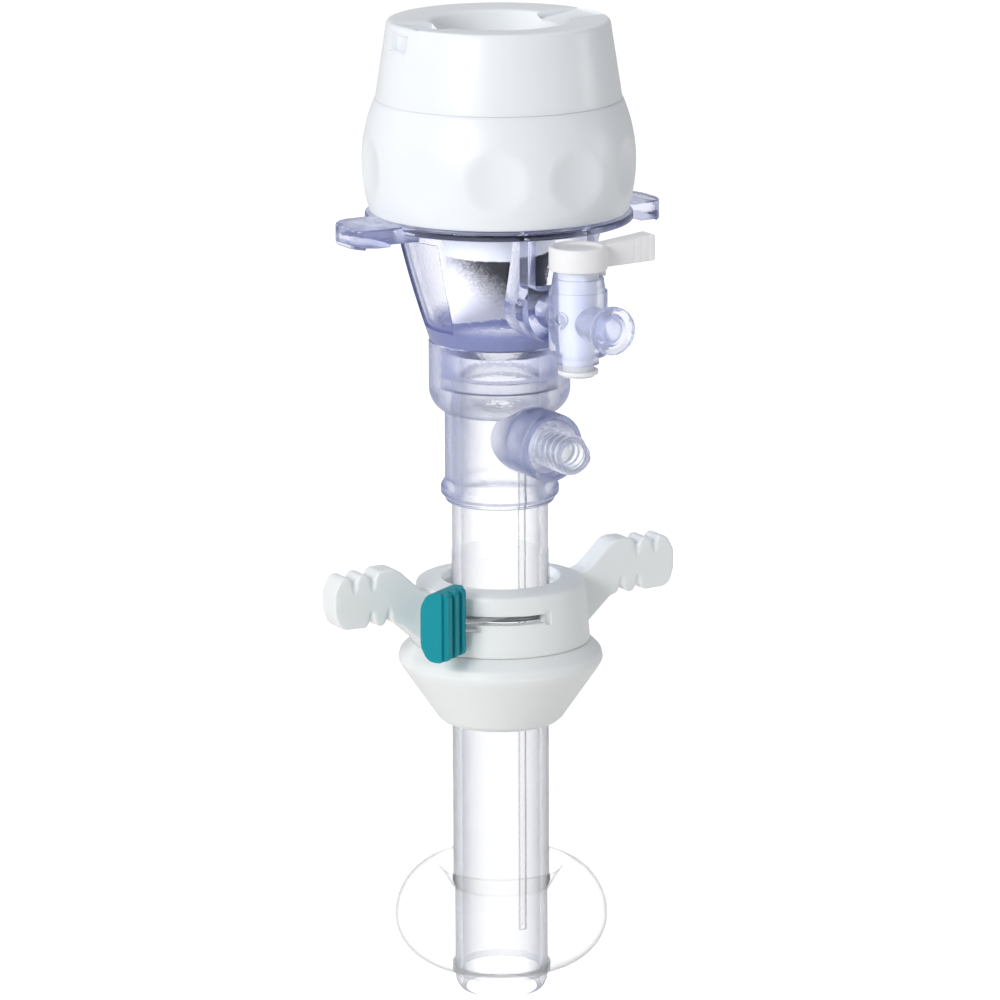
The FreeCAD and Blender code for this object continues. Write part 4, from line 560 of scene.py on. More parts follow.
# The duckbill's colour carries painted shade: dark at the top, under the cap.
duckbill_shaded_rubber = rubber_with_painted_shade("duckbill_painted_shade")
teal = moulded("pad_teal", (0.0, 0.29, 0.35), 0.42, speck=0.12, level=0.25)
wire_steel = drawn_wire("spring_wire")
print("materials:", len(bpy.data.materials))

# %% [markdown]
# ## The tube
# A long extruded tube of clear plastic with a blunt tip. A narrow channel in its wall feeds air to the
# balloon. A plain cylinder would look much the same from afar, but the eye finds the step, the nose and
# the channel in clear plastic, so the wall is turned and the channel is cut out of it.

# %% The tube
TUBE_TOP = 105.75
NOSE_MOUTH = 6.8
NOSE_RISE = 2.4
NOSE_ARC = 3.2
CHANNEL_HALF = 0.6
CHANNEL_FRONT = -7.55
CHANNEL_BACK = -6.95
CHANNEL_LOW = 11.8
CHANNEL_TOP = 97.1
OUTLET_Z = 12.4
tube = spun("tube_wall", [(LUMEN, 0)] + bulge((NOSE_MOUTH, 0), (WAIST, NOSE_RISE), NOSE_ARC) + [
    (WAIST, NOSE_RISE), (WAIST, WAIST_TOP - 0.1), (WAIST + 0.03, WAIST_TOP),
    (TUBE - 0.03, WAIST_TOP + 0.3), (TUBE, WAIST_TOP + 0.4), (TUBE, TUBE_TOP),
    (LUMEN + 0.5, TUBE_TOP), (LUMEN, TUBE_TOP - 0.5)], FINE_ROUND)
channel = block("channel", (-CHANNEL_HALF, CHANNEL_FRONT, CHANNEL_LOW),
                (CHANNEL_HALF, CHANNEL_BACK, CHANNEL_TOP))
outlet = along_minus_y(rod("outlet", CHANNEL_HALF, 7.0, 9.0, 24), OUTLET_Z)
inlet = along_minus_y(rod("inlet", CHANNEL_HALF, 7.0, 9.0, 24), PORT_Z)
cut(tube, channel, outlet, inlet)
finished(tube, tube_clear, "cannula", "clear_tube", "cannula_tube")

# %% [markdown]
# The channel's upright sides are seen edge on, as two thin grey lines down the tube. Lines could be drawn
# on the wall by a pattern, but a duller material on the real faces stays right from every side.

# %% The channel's sides
tube.data.materials.append(channel_edge)
SLACK = 0.05
sides = 0
for face in tube.data.polygons:
    middle = face.center / MM
    on_side = abs(abs(middle.x) - CHANNEL_HALF) < 0.02 and abs(face.normal.x) > 0.9
    if on_side and CHANNEL_FRONT - SLACK < middle.y < CHANNEL_BACK + SLACK:
        face.material_index = 1
        sides += 1
print("channel sides:", sides)

# %% [markdown]
# ## The balloon
# A thin sleeve is bonded to the tube at both ends, and air swells it into a ring that holds the port
# against the inner side of the body wall. A cloth simulation could inflate it, but an ellipse below, a
# circle above and a small fold at the tube give the photograph's outline exactly, so they are turned.

# %% The balloon
BALLOON_Z = 12.8
ARCH = 9.9
LOW_ARCH = 8.5
CUFF = 4.3
FOLD = 1.5
FOLD_START = 66
FOLD_END = 150
SLEEVE_TOP = 75.9
fold_centre = (TUBE + (ARCH - FOLD) * math.cos(math.radians(FOLD_START)),
               BALLOON_Z + (ARCH - FOLD) * math.sin(math.radians(FOLD_START)))


def film_side(inset, wall):
    """One side of the film, from the cuff at the tip round the balloon and up the tube."""
    side = [(WAIST + GLUE, CUFF + inset)]
    for degrees in range(-84, 0, 2):
        angle = math.radians(degrees)
        side.append((TUBE + (ARCH - inset) * math.cos(angle),
                     BALLOON_Z + (LOW_ARCH - inset) * math.sin(angle)))
    side += arc((TUBE, BALLOON_Z), ARCH - inset, 0, FOLD_START, 40)
    side += arc(fold_centre, FOLD - inset, FOLD_START, FOLD_END, 20)[1:]
    last = side[-1]
    slope = 1 / math.tan(math.radians(FOLD_END))
    side.append((wall, last[1] + (last[0] - wall) * slope))
    side.append((wall, SLEEVE_TOP))
    return side


outer_side = film_side(0, TUBE + GLUE + FILM)
inner_side = film_side(FILM, TUBE + GLUE)
balloon = spun("balloon_skin", outer_side + inner_side[::-1], FINE_ROUND)
finished(balloon, film_clear, "cannula", "balloon_film", "balloon_sleeve")

# %% [markdown]
# ## The hub
# A clear moulded socket joins the tube to the housing, with the barrel of the inflation valve on its
# front. The barrel could be a piece of its own, but both come out of one mould, so they are joined
# before the bore is cut.

# %% The hub
NECK = TUBE + GLUE + 1.1
NECK_TOP = 99.6
HUB_WIDE = 11.7
SHOULDER_TOP = 103.6
BARREL = 5.7
BARREL_FRONT = 18.2
CUP = 4.6
lip = rounded([(0, HUB_LOW), (NECK - 0.3, HUB_LOW, 0.2), (NECK, 84.75, 0.1), (NECK - 0.3, 84.95),
               (NECK - 0.3, 85.1), (NECK + 0.2, 85.25, 0.1), (NECK + 0.7, 85.8, 0.4),
               (NECK + 0.7, 87.0, 0.8), (NECK, 88.2, 1.2), (NECK, NECK_TOP)])
shoulder = bulge((NECK, NECK_TOP), (HUB_WIDE, SHOULDER_TOP), arch(SHOULDER_TOP - NECK_TOP, HUB_WIDE - NECK))
hub = spun("hub_shell", lip + shoulder[1:] + [
    (HUB_WIDE, SHOULDER_TOP), (HUB_WIDE, HUB_TOP - 0.2), (HUB_WIDE - 0.2, HUB_TOP), (0, HUB_TOP)])
barrel = spun("barrel", rounded([(0, 4.0), (BARREL, 4.0), (BARREL, BARREL_FRONT, 0.9), (0, BARREL_FRONT)]))
joined(hub, along_minus_y(barrel, PORT_Z))
bore = spun("bore", [(0, 84.0), (TUBE + GLUE, 84.0), (TUBE + GLUE, SOCKET_FLOOR),
                     (SOCKET, SOCKET_FLOOR), (SOCKET, 112.0), (0, 112.0)])
cup = spun("cup", [(0, 10.6), (CUP, 10.6), (CUP, 17.9), (CUP + 0.4, 18.4), (0, 18.4)])
air = rod("air", CHANNEL_HALF, 7.0, 11.0, 24)
cut(hub, bore, along_minus_y(cup, PORT_Z), along_minus_y(air, PORT_Z))
finished(hub, hub_clear, "cannula", "clear_housing", "inflation_hub")

# %% [markdown]
# ## The inflation valve
# A syringe is screwed on this threaded luer. A swept ridge could be joined to the neck, but such a
# boolean is fragile on so fine a pitch, so the neck is turned with many rings, and its points are
# moved outwards where the two starts of the thread pass.

# %% The luer insert
VALVE_BACK = 10.65
VALVE_FACE = 15.65
VALVE_MOUTH = 24.5
LUER_NECK = 2.85
NECK_STEP = 0.1
THREAD_PITCH = 1.7
THREAD_START = 16.6
THREAD_HEIGHT = 0.5
THREAD_HALF = 0.3


def threaded(radius, height, angle):
    """The luer's neck swells where its thread passes."""
    if radius < LUER_NECK - 0.05 or height < THREAD_START:
        return radius
    turn = (height / THREAD_PITCH - angle / math.pi) % 1.0
    ridge = max(0.0, 1 - abs(turn - 0.5) / THREAD_HALF)
    return radius + THREAD_HEIGHT * (3 * ridge ** 2 - 2 * ridge ** 3)


neck_rings = int((VALVE_MOUTH - VALVE_FACE) / NECK_STEP)
neck_side = [(LUER_NECK, VALVE_FACE + NECK_STEP * ring_number) for ring_number in range(neck_rings)]
valve = spun("luer_insert", [
    (3.3, VALVE_BACK), (3.3, 15.15), (1.3, 15.15), (1.3, 17.5), (1.95, 17.5), (2.15, VALVE_MOUTH),
    (LUER_NECK, VALVE_MOUTH)] + neck_side[::-1] + [(CUP - 0.02, VALVE_FACE), (CUP - 0.02, VALVE_BACK)],
    ROUND, threaded)
along_minus_y(valve, PORT_Z)
finished(valve, valve_clear, "cannula", "clear_housing", "check_valve_body")

# %% [markdown]
# A steel spring presses the poppet shut. It could be a stack of rings, but a real wire winds up. It
# belongs to the fixed body and gets a mesh of its own.

# %% The poppet and its spring
poppet = spun("poppet_pin", rounded([(0, 14.0), (2.7, 14.0, 0.2), (2.7, 15.1, 0.2), (1.0, 15.1),
                                     (1.0, 22.3, 0.3), (0, 22.3)]), 64)
along_minus_y(poppet, PORT_Z)
finished(poppet, inner_seal, "valve_poppet", "pale_rubber", "check_valve_poppet")


def coil(name, radius, wire, low, high, turns, around=12, steps=48):
    """A closed round wire that winds up about Z between two heights of its middle."""
    work = bmesh.new()
    rings = []
    count = int(turns * steps)
    for number in range(count + 1):
        angle = 2 * math.pi * number / steps
        height = low + (high - low) * number / count
        ring_here = []
        for part in range(around):
            swing = 2 * math.pi * part / around
            reach = radius + wire / 2 * math.cos(swing)
            ring_here.append(work.verts.new((reach * math.cos(angle) * MM, reach * math.sin(angle) * MM,
                                             (height + wire / 2 * math.sin(swing)) * MM)))
        rings.append(ring_here)
    for before, after in zip(rings, rings[1:]):
        for part in range(around):
            work.faces.new((before[part - 1], before[part], after[part], after[part - 1]))
    work.faces.new(rings[0])
    work.faces.new(rings[-1])
    return as_piece(name, work)


SPRING_BACK = VALVE_BACK
SPRING_FRONT = 13.95
SPRING_WIRE = 0.35
SPRING_RADIUS = 1.9
SPRING_TURNS = 2.5
spring = coil("poppet_coil", SPRING_RADIUS, SPRING_WIRE, SPRING_BACK + SPRING_WIRE / 2,
              SPRING_FRONT - SPRING_WIRE / 2, SPRING_TURNS)
along_minus_y(spring, PORT_Z)
finished(spring, wire_steel, "cannula", "spring_steel", "poppet_spring")
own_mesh(spring)

# %% [markdown]
# ## The housing
# Funnel, flange, collar and the boss of the gas valve are one clear moulding. It could be a thin surface
# with a Solidify modifier, but clear plastic shows its uneven wall, so the outside is built up whole,
# and the hollow is cut out of it, as a mould's core would do.

# %% The housing's outside
FUNNEL = 16.7
FUNNEL_FOOT = 11.55
FUNNEL_SWELL = 0.25
FUNNEL_SHOULDER = 129.6
FLANGE = 22.05
COLLAR = 17.4
COLLAR_TOP = 139.6


def funnel_at(height, inset=0.0):
    """Radius of the funnel's side at a height; the side is a cone that swells a little on its way up."""
    share = (height - HUB_TOP) / (FUNNEL_SHOULDER - HUB_TOP)
    swell = FUNNEL_SWELL * math.sin(math.pi * share)
    return FUNNEL_FOOT + (FUNNEL - FUNNEL_FOOT) * share + swell - inset


def funnel_points(low, high, inset, steps=18):
    """Points up the funnel's side from one height to another, moved inwards by an inset."""
    heights = [low + (high - low) * step / steps for step in range(steps + 1)]
    return [(funnel_at(height, inset), height) for height in heights]


housing = spun("housing_shell", [(0, 106.0), (9.88, 106.0), (9.88, HUB_TOP + SEAT)]
               + funnel_points(HUB_TOP + SEAT, FUNNEL_SHOULDER, 0)
               + [(FUNNEL, FLANGE_LOW - 0.5), (FUNNEL + 0.5, FLANGE_LOW)]
               + rounded([(16.0, FLANGE_LOW), (FLANGE, FLANGE_LOW, 0.35), (FLANGE, FLANGE_TOP, 0.35),
                          (COLLAR, FLANGE_TOP), (COLLAR, COLLAR_TOP, 0.4), (0, COLLAR_TOP)])[1:])
print("funnel from radius %.2f to %.2f mm" % (funnel_at(HUB_TOP), funnel_at(FUNNEL_SHOULDER)))

# %% [markdown]
# Two wings on the flange take the fingers, and get thinner outwards in two steps below. They could be
# stacked tongues, but two blocks cut from one bevelled tongue keep its soft rim whole.

# %% The wings and the gas boss
WING_START = 18.0
WING_END = 28.9
WING_HALF = 6.1
WING_CORNER = 4.6
WING_LOW = FLANGE_TOP - 3.5
for side in (1, -1):
    outline = rounded([(WING_START, -WING_HALF), (WING_END, -WING_HALF, WING_CORNER),
                       (WING_END, WING_HALF, WING_CORNER), (WING_START, WING_HALF)], 10)
    tongue = pushed("wing", [(side * x, y) for x, y in outline], WING_LOW, FLANGE_TOP)
    softened(tongue, 0.4, 3, 60)
    for reach, rise in ((23.4, 0.9), (27.3, 0.45)):
        low_x, high_x = sorted((side * 10, side * reach))
        cut(tongue, block("step", (low_x, -8, 128.0), (high_x, 8, WING_LOW + rise)))
    joined(housing, tongue)

BOSS = 6.2
BOSS_Z = GAS_Z + 0.9
BOSS_WALL = 1.4
boss_outline = ([(BOSS, FLANGE_LOW + 0.2), (-BOSS, FLANGE_LOW + 0.2)]
                + arc((0, BOSS_Z), BOSS, 180, 360, 32))
boss = pushed("boss", boss_outline, -20.7, -9.5, "XZ")
inner = BOSS - BOSS_WALL
deck = pushed("deck", rounded([(-inner, GAS_Z + 4.0, 1.0), (inner, GAS_Z + 4.0, 1.0),
                               (inner, FLANGE_LOW), (-inner, FLANGE_LOW)]), -21.5, -FUNNEL - 0.02, "XZ")
cut(boss, deck)
joined(housing, boss)
print("wings reach %.1f mm from the axis" % WING_END)

# %% [markdown]
# Two shallow panels press in the funnel's sides, the gas valve gets its socket, and three lugs at the
# top hold the cap's bayonet. Each cut is a plain turned or pushed form, as a toolmaker would make it.

# %% The housing's inside
PANEL_LOW = 114.2
PANEL_DEEP = 0.5
PANEL_HALF = math.radians(24)
WEDGE_REACH = 30.0
FUNNEL_WALL = 1.9
COLLAR_BORE = 15.2


def panel(side):
    """The recess in the funnel's side, between two upright edges."""
    outline = [(FUNNEL + 1.0, PANEL_LOW), (FUNNEL + 1.0, FUNNEL_SHOULDER)]
    outline += funnel_points(PANEL_LOW, FUNNEL_SHOULDER, PANEL_DEEP)[::-1]
    band_of_wall = spun("panel", outline, FINE_ROUND)
    reach_x = WEDGE_REACH * math.cos(PANEL_HALF)
    reach_y = WEDGE_REACH * math.sin(PANEL_HALF)
    wedge = pushed("wedge", [(0, 0), (reach_x, reach_y), (reach_x, -reach_y)], 100, 140)
    if side < 0:
        moved(wedge, turn=("Z", 180))
    return changed(band_of_wall, [wedge], "INTERSECT")


cut(housing, panel(1), panel(-1))
hollow = spun("hollow", [(0, 105.9), (6.6, 105.9), (6.6, 109.4)]
              + funnel_points(PANEL_LOW, FUNNEL_SHOULDER, FUNNEL_WALL)
              + [(FUNNEL - FUNNEL_WALL, 131.2), (COLLAR_BORE, 131.2), (COLLAR_BORE, 140.0), (0, 140.0)])
valve_socket = along_minus_y(rod("socket", 3.02, 16.1, 21.0, 96), GAS_Z)
gas = along_minus_y(rod("gas", GAS_BORE, 6.0, 17.0, 64), GAS_Z)
cut(housing, hollow, valve_socket, gas)
for number in range(3):
    lug = block("lug", (17.2, -4.4, 136.3), (19.0, 4.4, 138.0))
    joined(housing, moved(lug, turn=("Z", 120 * number)))
finished(housing, housing_clear, "cannula", "clear_housing", "cannula_housing")

# %% [markdown]
# ## The gas valve
# Gas comes in through this stopcock: a clear upright body with a flared luer, and a tapered plug in it
# that a lever turns. Luer and spigot could stay apart, but clear plastic would show the walls between
# them, so all are joined, and the ways for gas and plug are cut last.

# %% The gas valve's body
PLUG_LOW = 2.55
PLUG_TOP = 3.35
PLUG_GAP = 0.04
TAIL_LOW = 111.2
LEDGE = 126.2
COCK = 4.75
COCK_TOP = 127.6


def plug_at(height, gap=0.0):
    """Radius of the tapered plug at a height, with a gap round it."""
    share = (height - TAIL_LOW) / (LEDGE - TAIL_LOW)
    return PLUG_LOW + (PLUG_TOP - PLUG_LOW) * share + gap


stopcock = spun("stopcock_shell", [(0, TAIL_LOW)] + rounded([
    (3.35, TAIL_LOW, 0.25), (3.35, 113.35, 0.3), (COCK, 113.6, 0.5), (COCK, COCK_TOP, 0.15)])
    + [(3.9, COCK_TOP), (3.9, LEDGE), (0, LEDGE)])
window = pushed("window", [(0, 0)] + arc((0, 0), 8.0, -105, 15, 24), LEDGE, 128.0)
cut(stopcock, window)
luer = along_minus_y(spun("luer", [(0, 3.0), (2.85, 3.0), (2.85, 9.0)] + rounded([
    (3.0, 9.6, 0.4), (3.9, 10.5, 0.3), (3.9, 11.75, 0.35), (0, 11.75)]), 128), GAS_Z)
spigot = moved(rod("spigot", 3.0, 3.0, 10.0, 96), (0, 0, GAS_Z), ("X", -90))
mark = spun("mark", rounded([(0.85, 4.3), (1.25, 4.3), (1.25, 4.95, 0.15), (0.85, 4.95, 0.15)]), 48)
moved(mark, turn=("Y", 90))
moved(mark, (0, 0, 120.1), ("Z", -154))
joined(stopcock, luer, spigot, mark)
gas_way = along_minus_y(spun("way", [
    (0, -12.0), (GAS_BORE, -12.0), (GAS_BORE, 4.75), (1.95, 4.75), (2.15, 11.75), (2.4, 12.2),
    (0, 12.2)], 96), GAS_Z)
seat = spun("seat", [(0, 111.0), (plug_at(111.0, PLUG_GAP), 111.0), (plug_at(128, PLUG_GAP), 128),
                     (0, 128)], 128)
cut(stopcock, gas_way, seat)
moved(stopcock, (0, STOPCOCK_Y, 0))
finished(stopcock, stopcock_clear, "cannula", "clear_housing", "stopcock_body")

# %% [markdown]
# The lever's hub, arm and stop tab are moulded in one, with fine grooves for the thumb. A bevel would
# break where they meet, so the form is melted. The plug stays crisp, because it has to seal.

# %% The lever and its plug
LEVER_LOW = 127.65
LEVER_TOP = 131.4
lever = spun("gas_lever", [(0, 127.0)] + rounded([
    (COCK, LEVER_LOW), (COCK, LEVER_TOP, 0.6), (4.0, LEVER_TOP, 0.2), (3.5, 130.9, 0.3), (0, 130.9)], 6))
arm = pushed("arm", rounded([(3.6, 127.75), (13.4, 128.0, 0.5), (13.4, 132.4, 0.5), (4.6, LEVER_TOP)]),
             -1.7, 1.7, "XZ")
tab = pushed("tab", [(0, 0)] + arc((0, 0), 4.7, -14.5, 14.5, 12), LEDGE + 0.05, LEVER_LOW + 0.3)
joined(lever, arm, tab)
for number in range(3):
    for side in (1, -1):
        groove = rod("groove", 0.22, 127.0, 132.6, 24)
        cut(lever, moved(groove, (12.2 - 1.3 * number, side * 1.85, 0)))
melted(lever, 0.09, 5)
moved(lever, (0, STOPCOCK_Y, 0))
finished(lever, warm_white, "gas_lever", "warm_white_plastic", sharp=60)
plug = spun("plug", [(0, 110.1), (PLUG_LOW, 110.1), (PLUG_LOW, TAIL_LOW), (PLUG_TOP, LEDGE),
                     (PLUG_TOP, LEVER_LOW), (0, LEVER_LOW)], 96)
cross = moved(rod("cross", GAS_BORE, -6.0, 6.0, 48), (0, 0, GAS_Z), ("Y", 90))
cut(plug, cross)
moved(plug, (0, STOPCOCK_Y, 0))
finished(plug, plug_white_painted_shade, "gas_lever", "warm_white_plastic", "stopcock_lever")

# %% [markdown]
# ## The seal cap
# The cap is two white shells. The lower one has ten soft scallops for the fingers. Ellipsoids could be
# cut from it, but their edges would be sharp, so the side is turned fine, and each point is moved to
# the nearest ellipsoid with a small blend.

# %% The cap's lower shell
CAP_FOOT = 133.35
CAP_FOOT_R = 21.3
CAP_WIDE = 22.5
CAP_WIDE_Z = 141.6
CAP_TOP_R = 20.45
CAP_INSIDE = 149.9
CAP_ROUND = 720
SCALLOPS = 10
SCALLOP_START = 24.0
SCALLOP_Z = 141.2
SCALLOP_R = 24.5
SCALLOP_DEEP = 3.0
SCALLOP_WIDE = 9.4
SCALLOP_TALL = 8.2
SCALLOP_BLEND = 0.4
SIDE_ONLY = 20.2


def scalloped(radius, height, angle):
    """The cap's side, pressed in by the nearest of its finger scallops."""
    if radius < SIDE_ONLY:
        return radius
    pitch = 2 * math.pi / SCALLOPS
    off = (angle - math.radians(SCALLOP_START) + pitch / 2) % pitch - pitch / 2
    rest = 1 - ((height - SCALLOP_Z) / SCALLOP_TALL) ** 2
    if rest <= 0:
        return radius
    a = (math.cos(off) / SCALLOP_DEEP) ** 2 + (math.sin(off) / SCALLOP_WIDE) ** 2
    b = -2 * SCALLOP_R * math.cos(off) / SCALLOP_DEEP ** 2
    c = (SCALLOP_R / SCALLOP_DEEP) ** 2 - rest
    inside = b * b - 4 * a * c
    if inside <= 0:
        return radius
    pressed = (-b - math.sqrt(inside)) / (2 * a)
    gap = max(SCALLOP_BLEND - abs(radius - pressed), 0.0) / SCALLOP_BLEND
    return min(radius, pressed) - gap * gap * SCALLOP_BLEND / 4


foot_arch = arch(CAP_WIDE_Z - CAP_FOOT, CAP_WIDE - CAP_FOOT_R)
top_arch = arch(CAP_SEAM - CAP_WIDE_Z, CAP_WIDE - CAP_TOP_R)
cap_side = ([(20.9, CAP_FOOT), (21.15, CAP_FOOT + 0.05)]
            + bulge((CAP_FOOT_R, CAP_FOOT + 0.2), (CAP_WIDE, CAP_WIDE_Z), foot_arch, 48)
            + bulge((CAP_WIDE, CAP_WIDE_Z), (CAP_TOP_R, CAP_SEAM - 0.15), top_arch, 48)
            + [(20.42, CAP_SEAM - 0.08), (20.32, CAP_SEAM)])
cap_lower = spun("cap_grip", cap_side + [
    (12.46, CAP_SEAM), (11.97, CAP_INSIDE), (12.2, CAP_INSIDE), (12.2, 134.6), (14.9, 134.6),
    (14.9, CAP_INSIDE), (18.55, CAP_INSIDE), (20.0, 145.0), (20.0, CAP_WIDE_Z), (19.4, CAP_FOOT)],
    CAP_ROUND, scalloped)
finished(cap_lower, cap_white, "seal_cap", "white_plastic", "cap_lower", sharp=50)

# %% [markdown]
# The upper shell has a dished entry with a recess on either side, and blind windows where a latch
# shows. The dish could be cut, but it is a turned form and so part of the outline. Only windows and
# recesses are cut, and one bevel then softens every edge.

# %% The cap's cover
TOP = 164.8
COVER_LOW = CAP_SEAM + 0.02
cover_side = rounded([
    (20.25, COVER_LOW, 0.12), (18.25, TOP, 0.8), (11.2, TOP - 0.25, 1.6), (8.3, 161.2, 0.3),
    (9.4, 161.2), (11.9, 163.0), (12.65, 163.0), (12.65, 160.2), (11.7, 160.2), (11.7, 158.9),
    (12.65, 158.9), (12.65, COVER_LOW), (13.85, COVER_LOW), (13.85, 163.0), (16.5, 163.0),
    (18.45, COVER_LOW)], 10)
cover = spun("cap_top", cover_side, FINE_ROUND)
for side in (1, -1):
    low_x, high_x = sorted((side * 17.15, side * 20.8))
    cut(cover, block("latch_window", (low_x, -2.8, 160.6), (high_x, 2.8, 163.5)))
    recess = pushed("recess", [(9.8, TOP - 1.5), (17.5, TOP - 0.35), (17.5, TOP + 1), (9.8, TOP + 1)],
                    -4.6, 4.6, "XZ")
    if side < 0:
        moved(recess, turn=("Z", 180))
    cut(cover, recess)
softened(cover, 0.18, 3, 30)
finished(cover, cap_white, "seal_cap", "white_plastic", "cap_cover", sharp=40)

# %% [markdown]
# ## The floating seal
# A ball with a bowl tilts in the cap and carries the lip seal, so that the seal follows the
# instrument. It could be a cut sphere, but only the zone that bears is real, so that is turned.

# %% The floating seal
BALL = 12.4
LOW_BALL = -24
HIGH_BALL = 21
ball_side = arc((0, BALL_Z), BALL, LOW_BALL, HIGH_BALL, 24)
rim_r, rim_z = ball_side[-1]
carrier = spun("seal_bowl", ball_side + [
    (rim_r - 0.3, rim_z + 0.12), (rim_r - 0.8, rim_z), (7.2, 154.75), (6.9, 154.5), (6.7, 154.2),
    (6.7, 150.6), (9.8, 150.6), (9.8, ball_side[0][1])], ROUND)
finished(carrier, inner_seal, "floating_seal", "pale_rubber", "seal_carrier")

# %% [markdown]
# ## The sliding anchor
# The anchor slides down until its soft cone closes the cut in the skin. Cone and ring are turned. The
# clamp's wire shows in a slot of the ring. The slot could be a dark stripe, but it is cut right
# through, so that it holds its own shadow, with a shallow recess at its end.

# %% The cone and the ring
cone = spun("cone_skin", rounded([
    (8.4, 46.9, 0.3), (9.7, 46.9, 0.5), (10.6, 47.7, 0.6), (16.5, 56.3, 1.6), (17.15, 57.5, 1.0),
    (16.8, 58.9, 1.3), (15.0, 60.68, 0.5), (12.4, 60.68), (12.4, 62.6), (11.1, 62.6), (11.1, 57.3),
    (10.1, 49.4), (8.4, 49.4)], 8), FINE_ROUND)
finished(cone, soft_seal, "anchor_cone", "milky_rubber", "cone_seal")

ring = spun("anchor_ring_skin", rounded([
    (12.6, 60.65), (15.0, 60.65, 0.5), (14.45, 66.7), (14.0, 70.75, 0.7), (9.8, 71.5, 0.4),
    (9.8, 69.6, 0.3), (12.6, 69.6)], 8), FINE_ROUND)
SLOT_START = -154
SLOT_END = -88
RECESS_END = -83.5
slot_cut = pushed("slot_cut", [(0, 0)] + arc((0, 0), 18.0, SLOT_START, SLOT_END, 40), 66.3, 67.8)
end_side = arc((0, 0), 14.15, SLOT_END, RECESS_END, 4) + arc((0, 0), 16.0, RECESS_END, SLOT_END, 4)
slot_end = pushed("slot_end", end_side, 65.9, 68.2)
cut(ring, slot_cut, slot_end)
finished(ring, milky, "anchor", "milky_plastic", "anchor_ring")

# %% [markdown]
# The suture thread is wound round the notches of two flat wings. A bevelled plate could do, but the
# notches are round inside as well, so flutes are cut in them and the whole plate is melted.

# %% The anchor's wings
BLADE_HALF = 2.3
FLUTE = [(0, -2.6), (0.35, -2.2), (0.6, -1.2), (0.65, 0), (0.6, 1.2), (0.35, 2.2), (0, 2.6)]
FLUTE_PLACES = ((28.5, 14.0), (25.1, 14.0), (25.3, 6.4), (22.1, 6.4))


def anchor_wing(side, name):
    """A flat wing with a web to the ring and round notches that hold the suture thread."""
    outline = rounded([
        (13.0, 0.9), (14.9, 0.9, 1.0), (20.0, 5.5, 1.6), (21.0, 5.7, 0.6), (22.1, 7.1, 0.6),
        (23.2, 5.7, 0.7), (24.2, 5.7, 0.7), (25.3, 7.1, 0.6), (26.4, 5.7, 0.8), (31.2, 5.8, 2.4),
        (32.2, 8.7, 3.0), (32.2, 12.1, 2.2), (31.0, 14.4, 1.6), (29.5, 14.8, 1.0), (28.5, 13.1, 0.6),
        (27.5, 14.6, 0.9), (26.2, 14.8, 0.9), (25.1, 13.1, 0.6), (24.0, 14.9, 1.0), (20.6, 15.0, 2.4),
        (15.8, 10.6, 2.0), (13.0, 9.6)], 8)
    piece = pushed(name, [(side * x, ANCHOR_Z + z) for x, z in outline], -BLADE_HALF, BLADE_HALF, "XZ")
    for place, height in FLUTE_PLACES:
        for front in (1, -1):
            flute = spun("flute", FLUTE, 32)
            cut(piece, moved(flute, (side * place, front * (BLADE_HALF + 0.25), ANCHOR_Z + height)))
    melted(piece, 0.17, 8)
    finished(piece, milky, "anchor", "milky_plastic", sharp=80)


anchor_wing(1, "wing_right")
anchor_wing(-1, "wing_left")

# %% [markdown]
# The teal pad opens the clamp, and three ribs give the thumb a hold. They could be a relief in the
# material, but they show in the outline, so they are joined to the pad, which is melted and then turned
# about the axis to its place.

# %% The thumb pad
PAD_TURN = -148.0
PAD_LOW = ANCHOR_Z + 1.3
PAD_HIGH = ANCHOR_Z + 12.9
RIB_LOW = PAD_LOW + 0.15
RIB_HIGH = PAD_HIGH - 0.15
RIB_OUT = 2.75
RIB_WIDE = 1.35
pad = pushed("pad_body", rounded([
    (-2.1, PAD_LOW + 2.4, 3.0), (-0.7, PAD_LOW, 2.0), (1.9, PAD_LOW, 0.5), (1.9, PAD_HIGH, 0.5),
    (-0.7, PAD_HIGH, 2.0), (-2.1, PAD_HIGH - 2.4, 3.0)], 10), 15.7, 23.3, "XZ")
for place in (16.4, 18.75, 21.1):
    rib = pushed("pad_rib", rounded([(0, RIB_LOW), (RIB_OUT, RIB_LOW, 0.8), (RIB_OUT, RIB_HIGH, 0.8),
                                     (0, RIB_HIGH)], 8), place, place + RIB_WIDE, "XZ")
    joined(pad, rib)
moved(pad, turn=("Z", -90))
pad.data.transform(Matrix.Scale(-1, 4, (0, 1, 0)))
pad.data.flip_normals()
melted(pad, 0.11, 5)
moved(pad, turn=("Z", PAD_TURN))
finished(pad, teal, "clamp", "teal_plastic", "thumb_pad", sharp=70)

# %% [markdown]
# ## What stays CAD
# A white band that shows round the duckbill is turned here. The other small pieces inside could be
# rebuilt too, but little of them is seen, so they keep their CAD solids and get a finer material.

# %% Carried pieces
band = spun("retainer_band", rounded([(9.08, 126.4, 0.15), (9.6, 126.4, 0.2), (9.6, 131.15, 0.1),
                                      (9.08, 131.15, 0.1)]))
finished(band, cap_white, "cannula", "white_plastic")
CARRIED = {
    "tip_band": band_clear,
    "tube_gasket": valve_clear,
    "duckbill_valve": duckbill_shaded_rubber,
    "duckbill_retainer": cap_white,
    "plug_clip": warm_white,
    "cap_ring": inner_seal,
    "instrument_seal": inner_seal,
    "seal_clamp": cap_white,
    "clamp_spring": wire_steel,
}
for node, material in CARRIED.items():
    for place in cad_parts[node].material_slots:
        place.material = material
    print("%-20s %s" % (node, material.name))

# %% [markdown]
# ## The stage
# Behind a clear part in a product photograph all is white. A plain bright world would flatten the white
# cap, so the world and the floor are bright only for the eye and for what is seen through clear
# plastic, and everything else gets a dimmer fill.


